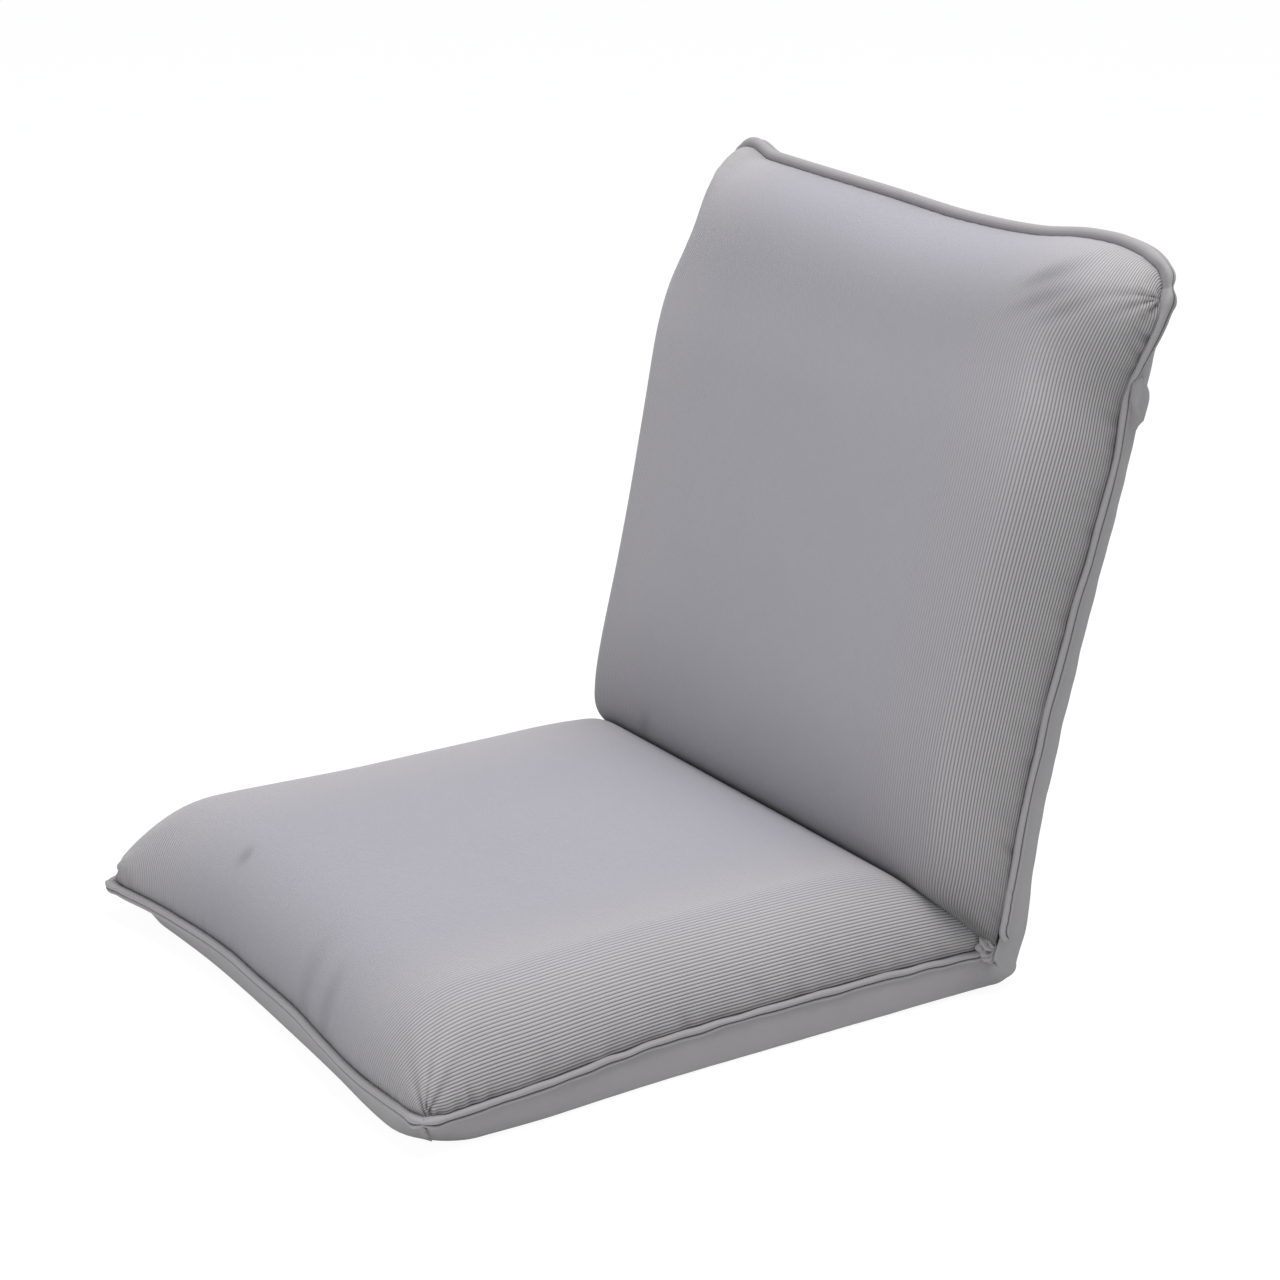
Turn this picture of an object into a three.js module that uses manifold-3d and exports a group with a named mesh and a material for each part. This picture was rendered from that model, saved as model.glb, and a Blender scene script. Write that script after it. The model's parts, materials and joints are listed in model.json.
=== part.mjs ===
// Folding floor chair: a padded seat and a padded back that meet at a ratchet hinge.
// Millimetres, +Z up. The sitter faces -Y, and the origin is the middle of the seat's flat underside.
import * as THREE from "three";
import { mergeVertices } from "three/addons/utils/BufferGeometryUtils.js";
import Module from "manifold-3d";

const wasm = await Module();
wasm.setup();

// Driving dimensions
const restAngle = THREE.MathUtils.degToRad(77);
const pivotHeight = 24;
const seatLength = 476;
const backLength = 529;
const seatHalfWidth = 237;
const backExtraWidth = 9;
const seatThickness = 95;
const backThickness = 110;
const creaseThickness = 88;
const fabric = 1.5;
const gap = 0.3;
const padEase = 1;
const overrun = 5;
const mergeReach = 1e-4;

// The steel frame of each panel
const legInset = 12;
const legHalfSpan = seatHalfWidth - legInset;
const tubeRadius = 8;
const tubeWall = 1.2;
const bendRadius = 50;
const crossRadius = 6;
const crossWall = 1;
const strapWidth = 50;
const strapThickness = 1.2;
const strapWrap = THREE.MathUtils.degToRad(190);
const strapClearance = 12;
const strapShares = [0, 0.5, 1];

// The hinge, the same on both sides
const plateThickness = 3;
const cheekThickness = 2;
const discRadius = 15;
const toothDepth = 2.4;
const toothPitch = THREE.MathUtils.degToRad(11);
const firstTooth = THREE.MathUtils.degToRad(37);
const toothCount = 14;
const cheekRadius = 17;
const cheekShoulder = THREE.MathUtils.degToRad(65);
const cheekNeck = 30;
const cheekHalfHeight = 5;
const armHalfHeight = 6;
const barHalfHeight = 4.2;
const barStart = 31;
const plugDepth = 44;
const rivetInset = 26;
const pivotRadius = 3;
const tubeRivetRadius = 2;
const tubeHead = { radius: 4, thickness: 1.2 };
const pinRadius = 1.5;
const pawlPlace = 25;
const pawlBoss = 3.2;
const pawlReach = 9.6;
const pawlNoseHalf = 1.5;
const pawlLugHeight = 4.2;
const pawlLug = [-1, 2];
const springThickness = 0.5;
const springWidth = 2.4;
const springReach = 17;

// The cover's sleeve, which goes round the hinge with the back
const sleeveRadius = pivotHeight;
const clearRadius = sleeveRadius + fabric / 3;
const sleeveStart = THREE.MathUtils.degToRad(200);
const sleeveEnd = THREE.MathUtils.degToRad(270);

// The seam that carries the welt stands this high above the outer face of each panel
const sideSeam = 33;
const lip = 2;
const weltHalfHeight = 4;
const weltHalfThickness = 2.2;
const weltDrop = 3;
const weltStart = 26;
const hemRadius = 8;

const seatPanel = {
  name: "seat",
  length: seatLength,
  thickness: seatThickness,
  halfWidth: seatHalfWidth,
  hingeFlare: 6,
  hingeFlareShare: 0.2,
  shoulderFlare: 9,
  shoulderShares: [0.6, 0.8],
  endFlare: 0,
  endFlareShares: [0.8, 0.93],
  earRise: 12,
  earShares: [0.15, 0.78],
  cornerDrop: 0,
  endSeam: 27,
  edgeRadius: 54,
  crownShare: 0.02,
  creaseRise: 60,
  endRoll: 70,
  legStart: 26,
  crossPlace: 36,
  loopInset: 28,
};

const backPanel = {
  name: "back",
  length: backLength,
  thickness: backThickness,
  halfWidth: seatHalfWidth + backExtraWidth,
  hingeFlare: 8,
  hingeFlareShare: 0.3,
  shoulderFlare: 12,
  shoulderShares: [0.45, 0.7],
  endFlare: 18,
  endFlareShares: [0.8, 0.93],
  earRise: 11,
  earShares: [0.35, 0.75],
  cornerDrop: 20,
  endSeam: 22,
  edgeRadius: 40,
  crownShare: 0.2,
  creaseRise: 85,
  endRoll: 160,
  legStart: 34,
  crossPlace: 44,
  loopInset: 114,
};

const cornerShares = [0.86, 1];
const seamFallShares = [0.5, 1];
const risePower = 2.2;
const rollPower = 2.3;
const rollFall = 0.51;
const columnCount = 16;
const rowCount = 12;
const leastRowShare = 0.01;
const roundSides = 10;
const plateSegments = 5;

const colours = {
  ribbed: 0xb0b0b5,
  plain: 0x919193,
  foam: 0xe8e2cf,
  steel: 0x33363a,
  zinc: 0xb9bcc0,
  webbing: 0x3b3b40,
};

// Materials
const ribbedCloth = () => new THREE.MeshStandardMaterial({ color: colours.ribbed, roughness: 0.95 });
const plainCloth = () => new THREE.MeshStandardMaterial({ color: colours.plain, roughness: 0.95 });
const foam = () => new THREE.MeshStandardMaterial({ color: colours.foam, roughness: 1 });
const webbing = () => new THREE.MeshStandardMaterial({ color: colours.webbing, roughness: 0.8 });
const blackSteel = () =>
  new THREE.MeshStandardMaterial({ color: colours.steel, roughness: 0.5, metalness: 0.6 });
const zincSteel = () =>
  new THREE.MeshStandardMaterial({ color: colours.zinc, roughness: 0.35, metalness: 1 });

// Solids: a closed geometry becomes a solid, and a solid becomes a geometry again
function solidOf(geometry) {
  const bare = geometry.clone();
  bare.deleteAttribute("normal");
  bare.deleteAttribute("uv");
  const merged = mergeVertices(bare, mergeReach);
  const vertProperties = new Float32Array(merged.attributes.position.array);
  const triVerts = new Uint32Array(merged.index.array);
  return new wasm.Manifold(new wasm.Mesh({ numProp: 3, vertProperties, triVerts }));
}

function geometryOf(solid) {
  const mesh = solid.getMesh();
  const geometry = new THREE.BufferGeometry();
  geometry.setAttribute("position", new THREE.BufferAttribute(mesh.vertProperties, 3));
  geometry.setIndex(new THREE.BufferAttribute(mesh.triVerts, 1));
  geometry.computeVertexNormals();
  return geometry;
}

function cut(geometry, ...tools) {
  return geometryOf(tools.reduce((solid, tool) => solid.subtract(solidOf(tool)), solidOf(geometry)));
}

function join(geometry, ...others) {
  return geometryOf(others.reduce((solid, other) => solid.add(solidOf(other)), solidOf(geometry)));
}

// A closed geometry from points and quads or triangles, turned so that its faces point out
function closed(points, faces) {
  const triangles = faces.flatMap((f) => (f.length === 3 ? [f] : [[f[0], f[1], f[2]], [f[0], f[2], f[3]]]));
  const volume = triangles.reduce(
    (sum, [a, b, c]) => sum + points[a].dot(points[b].clone().cross(points[c])),
    0,
  );
  const turned = volume < 0 ? triangles.map(([a, b, c]) => [a, c, b]) : triangles;
  const geometry = new THREE.BufferGeometry().setFromPoints(points);
  geometry.setIndex(turned.flat());
  geometry.computeVertexNormals();
  return geometry;
}

// A solid through sections that each hold a top and a bottom row with as many points
function loft(sections) {
  const columns = sections[0].top.length;
  const last = sections.length - 1;
  const points = sections.flatMap(({ top, bottom }) => [...top, ...bottom]);
  const top = (row, column) => 2 * columns * row + column;
  const bottom = (row, column) => top(row, column) + columns;
  const faces = [];
  for (let row = 0; row < last; row++) {
    for (let column = 0; column < columns - 1; column++) {
      const [next, along] = [column + 1, row + 1];
      faces.push([top(row, column), top(row, next), top(along, next), top(along, column)]);
      faces.push([bottom(row, column), bottom(along, column), bottom(along, next), bottom(row, next)]);
    }
    const edge = columns - 1;
    faces.push([top(row, 0), top(row + 1, 0), bottom(row + 1, 0), bottom(row, 0)]);
    faces.push([top(row, edge), bottom(row, edge), bottom(row + 1, edge), top(row + 1, edge)]);
  }
  for (let column = 0; column < columns - 1; column++) {
    const next = column + 1;
    faces.push([top(0, column), bottom(0, column), bottom(0, next), top(0, next)]);
    faces.push([top(last, column), top(last, next), bottom(last, next), bottom(last, column)]);
  }
  return closed(points, faces);
}

// A section of [outward, up] places swept along a path of { x, s, h } points, outward being the path's left
function sweep(path, section) {
  const sides = section.length;
  const points = [];
  path.forEach((place, index) => {
    const before = path[Math.max(index - 1, 0)];
    const after = path[Math.min(index + 1, path.length - 1)];
    const arriving = new THREE.Vector2(place.x - before.x, place.s - before.s).normalize();
    const leaving = new THREE.Vector2(after.x - place.x, after.s - place.s).normalize();
    const along = arriving.clone().add(leaving).normalize();
    const turn = Math.max(along.dot(arriving), along.dot(leaving));
    const mitre = 1 / Math.max(turn, Math.SQRT1_2);
    for (const [outward, up] of section) {
      const reach = outward * mitre;
      points.push(new THREE.Vector3(place.x - along.y * reach, place.s + along.x * reach, place.h + up));
    }
  });
  const faces = [];
  for (let ring = 0; ring < path.length - 1; ring++) {
    for (let side = 0; side < sides; side++) {
      const next = (side + 1) % sides;
      const [here, beyond] = [ring * sides, (ring + 1) * sides];
      faces.push([here + side, here + next, beyond + next, beyond + side]);
    }
  }
  const end = (path.length - 1) * sides;
  for (let side = 1; side < sides - 1; side++) {
    faces.push([0, side + 1, side]);
    faces.push([end, end + side, end + side + 1]);
  }
  return closed(points, faces);
}

// An outline in the panel's side view (s, h) with its thickness along x, centred on x = centre
function sidePlate(shape, thickness, centre) {
  const options = { depth: thickness, bevelEnabled: false, curveSegments: plateSegments };
  const turn = new THREE.Matrix4().makeBasis(
    new THREE.Vector3(0, 1, 0),
    new THREE.Vector3(0, 0, 1),
    new THREE.Vector3(1, 0, 0),
  );
  const plate = new THREE.ExtrudeGeometry(shape, options).applyMatrix4(turn);
  return plate.translate(centre - thickness / 2, 0, 0);
}

function roundHole(s, h, radius) {
  return new THREE.Path().absarc(s, h, radius, 0, 2 * Math.PI, true);
}

// A turned piece with its axis along x: [radius, x] points of its closed profile
function turned(profile, s, h) {
  const points = profile.map(([radius, x]) => new THREE.Vector2(radius, x));
  const piece = new THREE.LatheGeometry([...points, points[0]], roundSides);
  return solidTurned(piece).translate(0, s, h);
}

function solidTurned(piece) {
  const along = piece.rotateZ(-Math.PI / 2);
  const bare = along.clone();
  bare.deleteAttribute("normal");
  bare.deleteAttribute("uv");
  const merged = mergeVertices(bare, mergeReach);
  const points = [];
  for (let index = 0; index < merged.attributes.position.count; index++) {
    points.push(new THREE.Vector3().fromBufferAttribute(merged.attributes.position, index));
  }
  const faces = [];
  for (let index = 0; index < merged.index.count; index += 3) {
    const face = [0, 1, 2].map((corner) => merged.index.getX(index + corner));
    if (new Set(face).size === 3) faces.push(face);
  }
  return closed(points, faces);
}

// A rivet with two heads that grip a stack of plates, the stack being 2 * reach thick
function rivet(shaft, head, headThickness, reach, centre, s, h) {
  const [near, far] = [reach + gap, reach + gap + headThickness];
  const half = [[0, near + headThickness], [head, far], [head, near], [shaft, near]];
  const profile = [...half, ...half.map(([radius, x]) => [radius, -x]).reverse()];
  const piece = new THREE.LatheGeometry(profile.map(([radius, x]) => new THREE.Vector2(radius, x)), roundSides);
  return solidTurned(piece).translate(centre, s, h);
}

// The outline of a panel, as shares of its width and length
const smooth = (shares, value) => THREE.MathUtils.smoothstep(value, shares[0], shares[1]);

function halfWidthAt(panel, lengthShare) {
  const flare = panel.hingeFlare * (1 - smooth([0, panel.hingeFlareShare], lengthShare));
  const shoulder = panel.shoulderFlare * smooth(panel.shoulderShares, lengthShare);
  return panel.halfWidth + flare + shoulder + panel.endFlare * smooth(panel.endFlareShares, lengthShare);
}

function endAt(panel, widthShare) {
  const reach = Math.abs(widthShare);
  const corner = panel.cornerDrop * smooth(cornerShares, reach);
  return panel.length + panel.earRise * smooth(panel.earShares, reach) - corner;
}

// How far along the panel's side edge a row lies, between a start and the inset free end
function edgeShare(panel, start, inset, rowShare) {
  const end = endAt(panel, 1);
  return (start + rowShare * (end - inset - start)) / end;
}

function seamAt(panel, lengthShare) {
  return sideSeam + (panel.endSeam - sideSeam) * smooth(seamFallShares, lengthShare);
}

// Height of the crowned top over the outer face
function topAt(panel, widthShare, lengthShare, inset) {
  const clamp = (value) => THREE.MathUtils.clamp(value, 0, 1);
  const halfWidth = halfWidthAt(panel, lengthShare) - inset;
  const edge = clamp((halfWidth * (1 - Math.abs(widthShare))) / (panel.edgeRadius - inset));
  const round = Math.sqrt(1 - (1 - edge) ** 2);
  const across = (1 - panel.crownShare) * round + panel.crownShare * (1 - widthShare ** 2);
  const rise = 1 - (1 - clamp((lengthShare * panel.length) / panel.creaseRise)) ** risePower;
  const full = creaseThickness + (panel.thickness - creaseThickness) * rise - inset;
  const beforeEnd = (1 - lengthShare) * endAt(panel, 1) - inset;
  const roll = clamp(1 - beforeEnd / (panel.endRoll - inset));
  const down = (1 - roll ** rollPower) ** rollFall;
  const foot = seamAt(panel, lengthShare) + lip;
  return foot + (full - foot) * across * down;
}

// Where the hinge end of a pad lies at a height over the outer face: halfway between the panels at rest,
// and outside the sleeve
function padStart(height, inset) {
  const up = height - pivotHeight;
  const middle = up / Math.tan((Math.PI - restAngle) / 2);
  const round = Math.sqrt(Math.max(clearRadius ** 2 - up ** 2, 0));
  return Math.max(middle, round) + gap + inset;
}

// The rows of a panel between a start and the inset free end, as shares of that way. They lie close at
// both ends, the last one but one where the hem begins, and at the same places whatever the inset.
function rowShares(panel, start, inset) {
  const end = endAt(panel, 1);
  const shares = [];
  for (let row = 0; row <= rowCount; row++) {
    const place = ((end - hemRadius) * (1 - Math.cos((Math.PI * row) / rowCount))) / 2;
    shares.push((place - start) / (end - inset - start));
  }
  return [0, ...shares.filter((share) => share > leastRowShare), 1];
}

// The columns across a panel: where each lies, and how far the rounded hem lifts it off the floor
function columnPlaces(halfWidth) {
  const hemShares = [[0, 1], [0.3, 0.3], [1, 0]];
  const left = hemShares.map(([inward, up]) => ({ x: inward * hemRadius - halfWidth, rise: up * hemRadius }));
  const flat = [];
  for (let column = 2; column < columnCount - 1; column++) {
    flat.push({ x: halfWidth * Math.sin(Math.PI * (column / columnCount - 1 / 2)), rise: 0 });
  }
  return [...left, ...flat, ...left.map(({ x, rise }) => ({ x: -x, rise })).reverse()];
}

// The crowned pad over the seam, drawn in by an inset, by some ease more at the hinge, and reaching down
// to drop below the seam
function pad(panel, inset, ease, drop) {
  const seamStart = padStart(sideSeam, inset + ease);
  const sections = rowShares(panel, seamStart, inset).map((rowShare) => {
    const lengthShare = edgeShare(panel, seamStart, inset, rowShare);
    const halfWidth = halfWidthAt(panel, lengthShare) - inset;
    const seam = seamAt(panel, lengthShare);
    const section = { top: [], bottom: [] };
    for (const { x } of columnPlaces(halfWidth)) {
      const widthShare = x / halfWidth;
      const top = topAt(panel, widthShare, lengthShare, inset);
      const topStart = padStart(Math.max(top, sideSeam), inset + ease);
      const lean = (topStart - seamStart) / (top - seam);
      const place = (start, height) => {
        const s = start + rowShare * (endAt(panel, widthShare) - inset - start);
        return new THREE.Vector3(x, s, height - pivotHeight);
      };
      section.top.push(place(topStart, top));
      section.bottom.push(place(seamStart - drop * lean, seam - drop));
    }
    return section;
  });
  return loft(sections);
}

// The space inside the plain cover's tray, from floor to ceiling over the outer face
function trayBlock(panel, inset, start, floor, ceilingAt) {
  const sections = rowShares(panel, start, inset).map((rowShare) => {
    const lengthShare = edgeShare(panel, start, inset, rowShare);
    const halfWidth = halfWidthAt(panel, lengthShare) - inset;
    const section = { top: [], bottom: [] };
    for (const { x, rise } of columnPlaces(halfWidth)) {
      const end = endAt(panel, x / halfWidth) - inset;
      const s = start + rowShare * (end - start);
      const lift = rowShare === 1 ? hemRadius : rise;
      section.top.push(new THREE.Vector3(x, s, ceilingAt(lengthShare) - pivotHeight));
      section.bottom.push(new THREE.Vector3(x, s, floor + lift - pivotHeight));
    }
    return section;
  });
  return loft(sections);
}

// The plain cover: an open tray of fabric under and round the frame
function coverTray(panel) {
  const outer = trayBlock(panel, 0, 0, 0, (share) => seamAt(panel, share) - gap);
  const inner = trayBlock(panel, fabric, -overrun, fabric, (share) => seamAt(panel, share) + overrun);
  return cut(outer, inner);
}

// A solid round bar across the chair on the hinge's axis
function hingeBar(radius, halfWidth) {
  const bar = new THREE.CylinderGeometry(radius, radius, 2 * halfWidth, 4 * roundSides);
  return bar.rotateZ(Math.PI / 2);
}

// The part of the back's cover that wraps round the hinge: a sleeve and its two side faces
function hingeSleeve(panel) {
  const halfWidth = halfWidthAt(panel, 0);
  const arc = new THREE.Shape();
  arc.absarc(0, 0, sleeveRadius, sleeveStart, sleeveEnd, false);
  arc.lineTo(overrun, -sleeveRadius);
  arc.lineTo(overrun, fabric - sleeveRadius);
  arc.absarc(0, 0, sleeveRadius - fabric, sleeveEnd, sleeveStart, true);
  const top = sideSeam - gap - pivotHeight;
  const side = new THREE.Shape();
  side.moveTo(overrun, top);
  side.absarc(0, 0, sleeveRadius, Math.PI - Math.asin(top / sleeveRadius), sleeveEnd, false);
  side.lineTo(overrun, -sleeveRadius);
  const sides = [-1, 1].map((hand) => sidePlate(side, fabric, hand * (halfWidth - fabric / 2)));
  return [sidePlate(arc, 2 * halfWidth, 0), ...sides];
}

const seatCover = () => cut(coverTray(seatPanel), hingeBar(clearRadius, seatLength));
const backCover = () => join(coverTray(backPanel), ...hingeSleeve(backPanel));

// The ribbed cover over the foam
function ribbedCover(panel) {
  return cut(pad(panel, 0, 0, 0), pad(panel, fabric, 0, overrun));
}

// The foam under the ribbed cover rests on the webbing
const strapTop = tubeRadius + gap + strapThickness;
function crownFoam(panel) {
  const under = new THREE.BoxGeometry(2 * panel.length, 3 * panel.length, panel.length);
  under.translate(0, 0, strapTop + gap - panel.length / 2);
  return cut(pad(panel, fabric + 2 * gap, 3 * padEase, 0), under);
}

// The frame loop: a bent tube from the hinge up one side, across the free end and down the other
const loopEnd = (panel) => panel.length - panel.loopInset;

function loopPath(panel, start) {
  const steps = 4;
  const far = loopEnd(panel) - bendRadius;
  const near = legHalfSpan - bendRadius;
  const path = [{ x: -legHalfSpan, s: start, h: 0 }];
  for (const [hand, from] of [[-1, Math.PI], [1, Math.PI / 2]]) {
    for (let step = 0; step <= steps; step++) {
      const angle = from - (step / steps) * (Math.PI / 2);
      const x = hand * near + bendRadius * Math.cos(angle);
      path.push({ x, s: far + bendRadius * Math.sin(angle), h: 0 });
    }
  }
  path.push({ x: legHalfSpan, s: start, h: 0 });
  return path;
}

function circle(radius) {
  const places = [];
  for (let side = 0; side < roundSides; side++) {
    const angle = (2 * Math.PI * (side + 1 / 2)) / roundSides;
    places.push([radius * Math.cos(angle), radius * Math.sin(angle)]);
  }
  return places;
}

const rivetPlace = (panel) => panel.legStart + rivetInset;

function rivetHole(panel, hand, radius, length) {
  const bore = new THREE.CylinderGeometry(radius, radius, length, roundSides).rotateZ(Math.PI / 2);
  return bore.translate(hand * legHalfSpan, rivetPlace(panel), 0);
}

function frameLoop(panel) {
  const outer = sweep(loopPath(panel, panel.legStart), circle(tubeRadius));
  const inner = sweep(loopPath(panel, panel.legStart - overrun), circle(tubeRadius - tubeWall));
  const holes = [-1, 1].map((hand) => rivetHole(panel, hand, tubeRivetRadius + gap, 3 * tubeRadius));
  return cut(outer, inner, ...holes);
}

function crossTube(panel) {
  const half = legHalfSpan - tubeRadius - gap;
  const bore = crossRadius - crossWall;
  return turned([[bore, -half], [crossRadius, -half], [crossRadius, half], [bore, half]], panel.crossPlace, 0);
}

// A webbing strap across the loop, its ends wrapped round the legs
function strap(panel, share) {
  const inset = strapClearance + strapWidth / 2;
  const first = rivetPlace(panel) + tubeHead.radius + inset;
  const last = loopEnd(panel) - bendRadius - inset;
  const place = THREE.MathUtils.lerp(first, last, share);
  const near = tubeRadius + gap;
  const up = Math.PI / 2;
  const shape = new THREE.Shape();
  shape.absarc(legHalfSpan, 0, strapTop, up, up - strapWrap, true);
  shape.absarc(legHalfSpan, 0, near, up - strapWrap, up, false);
  shape.absarc(-legHalfSpan, 0, near, up, up + strapWrap, false);
  shape.absarc(-legHalfSpan, 0, strapTop, up + strapWrap, up, true);
  const band = new THREE.ExtrudeGeometry(shape, { depth: strapWidth, bevelEnabled: false, curveSegments: 8 });
  return band.rotateX(Math.PI / 2).translate(0, place + strapWidth / 2, 0);
}

// The firm pad: a slab on the outer cover that fills the inside of the frame loop
function firmPad(panel) {
  const floor = fabric + gap;
  const slabTop = pivotHeight - strapTop - 2 * gap;
  const slab = trayBlock(panel, fabric + padEase, panel.legStart, floor, () => slabTop);
  const halfWidth = legHalfSpan - strapTop - 2 * gap;
  const start = panel.crossPlace + crossRadius + 3 * gap;
  const end = loopEnd(panel) - tubeRadius - 3 * gap;
  const ceiling = tubeRadius;
  const bottom = slabTop - pivotHeight - gap;
  const corner = bendRadius - tubeRadius;
  const outline = new THREE.Shape();
  outline.moveTo(-halfWidth, start);
  outline.lineTo(halfWidth, start);
  outline.absarc(halfWidth - corner, end - corner, corner, 0, Math.PI / 2, false);
  outline.absarc(corner - halfWidth, end - corner, corner, Math.PI / 2, Math.PI, false);
  const options = { depth: ceiling - bottom, bevelEnabled: false, curveSegments: 6 };
  const core = new THREE.ExtrudeGeometry(outline, options).translate(0, 0, bottom);
  return join(slab, core);
}

// The welt: a folded strip of the same fabric that stands proud along the seam
function welt(panel) {
  const rows = rowShares(panel, weltStart, 0).map((share) => edgeShare(panel, weltStart, 0, share));
  const place = (widthShare, lengthShare) => ({
    x: widthShare * halfWidthAt(panel, lengthShare),
    s: lengthShare * endAt(panel, widthShare),
    h: seamAt(panel, lengthShare) - weltDrop - pivotHeight,
  });
  const endHalfWidth = halfWidthAt(panel, 1);
  const across = columnPlaces(endHalfWidth).slice(1, -1);
  const path = [
    ...rows.map((share) => place(-1, share)),
    ...across.map(({ x }) => place(x / endHalfWidth, 1)),
    ...rows.reverse().map((share) => place(1, share)),
  ];
  const middle = gap + weltHalfThickness;
  const corners = 8;
  const section = [];
  for (let corner = 0; corner < corners; corner++) {
    const angle = (2 * Math.PI * (corner + 1 / 2)) / corners;
    section.push([middle + weltHalfThickness * Math.cos(angle), weltHalfHeight * Math.sin(angle)]);
  }
  return sweep(path, section);
}

// The toothed arm: a disc on the hinge's axis whose arm plugs into the seat tube
function ratchetArm(centre) {
  const throat = Math.asin(armHalfHeight / discRadius);
  const end = seatPanel.legStart + plugDepth;
  const shape = new THREE.Shape();
  shape.moveTo(end, -armHalfHeight);
  shape.lineTo(end, armHalfHeight);
  shape.lineTo(discRadius * Math.cos(throat), armHalfHeight);
  const toothShares = [0, 0.55];
  for (let tooth = 0; tooth < toothCount; tooth++) {
    const tip = firstTooth + tooth * toothPitch;
    const root = tip + toothShares[1] * toothPitch;
    shape.lineTo(discRadius * Math.cos(tip), discRadius * Math.sin(tip));
    shape.lineTo((discRadius - toothDepth) * Math.cos(root), (discRadius - toothDepth) * Math.sin(root));
  }
  shape.absarc(0, 0, discRadius, firstTooth + toothCount * toothPitch, 2 * Math.PI - throat, false);
  shape.holes.push(roundHole(0, 0, pivotRadius + gap));
  shape.holes.push(roundHole(rivetPlace(seatPanel), 0, tubeRivetRadius + gap));
  return sidePlate(shape, plateThickness, centre);
}

// A cheek plate: it rides on the pivot beside the disc and plugs into the back tube
function cheek(centre) {
  const end = backPanel.legStart + plugDepth;
  const shape = new THREE.Shape();
  shape.moveTo(end, -cheekHalfHeight);
  shape.lineTo(end, cheekHalfHeight);
  shape.lineTo(cheekNeck, cheekHalfHeight);
  shape.absarc(0, 0, cheekRadius, cheekShoulder, 2 * Math.PI - cheekShoulder, false);
  shape.lineTo(cheekNeck, -cheekHalfHeight);
  shape.holes.push(roundHole(0, 0, pivotRadius + gap));
  shape.holes.push(roundHole(pawlPlace, 0, pinRadius + gap));
  shape.holes.push(roundHole(rivetPlace(backPanel), 0, tubeRivetRadius + gap));
  return sidePlate(shape, cheekThickness, centre);
}

// The bar that keeps the cheeks apart inside the back tube
function plugBar(centre) {
  const end = backPanel.legStart + plugDepth;
  const shape = new THREE.Shape();
  shape.moveTo(barStart, -barHalfHeight);
  shape.lineTo(end, -barHalfHeight);
  shape.lineTo(end, barHalfHeight);
  shape.lineTo(barStart, barHalfHeight);
  shape.holes.push(roundHole(rivetPlace(backPanel), 0, tubeRivetRadius + gap));
  return sidePlate(shape, plateThickness, centre);
}

// The pawl that drops between the teeth, on its pin
function pawl(centre) {
  const noseAngle = Math.PI - Math.asin(pawlNoseHalf / pawlBoss);
  const [lugNear, lugFar] = pawlLug;
  const shape = new THREE.Shape();
  shape.moveTo(-pawlReach, -pawlNoseHalf);
  shape.absarc(0, 0, pawlBoss, -noseAngle, Math.acos(lugFar / pawlBoss), false);
  shape.lineTo(lugFar, pawlLugHeight);
  shape.lineTo(lugNear, pawlLugHeight);
  shape.absarc(0, 0, pawlBoss, Math.acos(lugNear / pawlBoss), noseAngle, false);
  shape.lineTo(-pawlReach, pawlNoseHalf);
  shape.holes.push(roundHole(0, 0, pinRadius + gap));
  return sidePlate(shape, plateThickness, centre).translate(0, pawlPlace, 0);
}

// The leaf spring that presses on the pawl's lug and lies on the plug bar
function pawlSpring(centre) {
  const under = pawlLugHeight + gap;
  const start = pawlPlace + pawlLug[0];
  const shape = new THREE.Shape();
  shape.moveTo(start + springReach, under);
  shape.lineTo(start + springReach, under + springThickness);
  shape.lineTo(start + springThickness, under + springThickness);
  shape.lineTo(start - springThickness, under + 2 * springThickness);
  shape.lineTo(start - springThickness, under + springThickness);
  shape.lineTo(start, under);
  return sidePlate(shape, springWidth, centre);
}

function mesh(name, geometry, material) {
  const piece = new THREE.Mesh(geometry, material);
  piece.name = name;
  return piece;
}

// The pieces that both panels have
function panelPieces(panel, outerName, cover) {
  const group = new THREE.Group();
  const named = (name) => `${panel.name}_${name}`;
  group.add(mesh(named("frame_loop"), frameLoop(panel), blackSteel()));
  group.add(mesh(named("cross_tube"), crossTube(panel), blackSteel()));
  strapShares.forEach((share, index) => {
    group.add(mesh(named(`webbing_strap_${index + 1}`), strap(panel, share), webbing()));
  });
  group.add(mesh(named("firm_pad"), firmPad(panel), foam()));
  group.add(mesh(named("crown_foam"), crownFoam(panel), foam()));
  group.add(mesh(named("ribbed_cover"), ribbedCover(panel), ribbedCloth()));
  group.add(mesh(named(outerName), cover, plainCloth()));
  group.add(mesh(named("welt"), welt(panel), plainCloth()));
  return group;
}

// The hinge pieces of one side; the left is the sitter's left, at +X
const stackReach = plateThickness / 2 + gap + cheekThickness;
const pivotHead = { radius: 5.5, thickness: 1.6 };
const pinHead = { radius: 2.6, thickness: 0.8 };

function seatHingePieces(side, centre) {
  const place = rivetPlace(seatPanel);
  const { radius, thickness } = tubeHead;
  const fixing = rivet(tubeRivetRadius, radius, thickness, tubeRadius, centre, place, 0);
  return [
    mesh(`${side}_ratchet_arm`, ratchetArm(centre), zincSteel()),
    mesh(`${side}_seat_tube_rivet`, fixing, zincSteel()),
  ];
}

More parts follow.
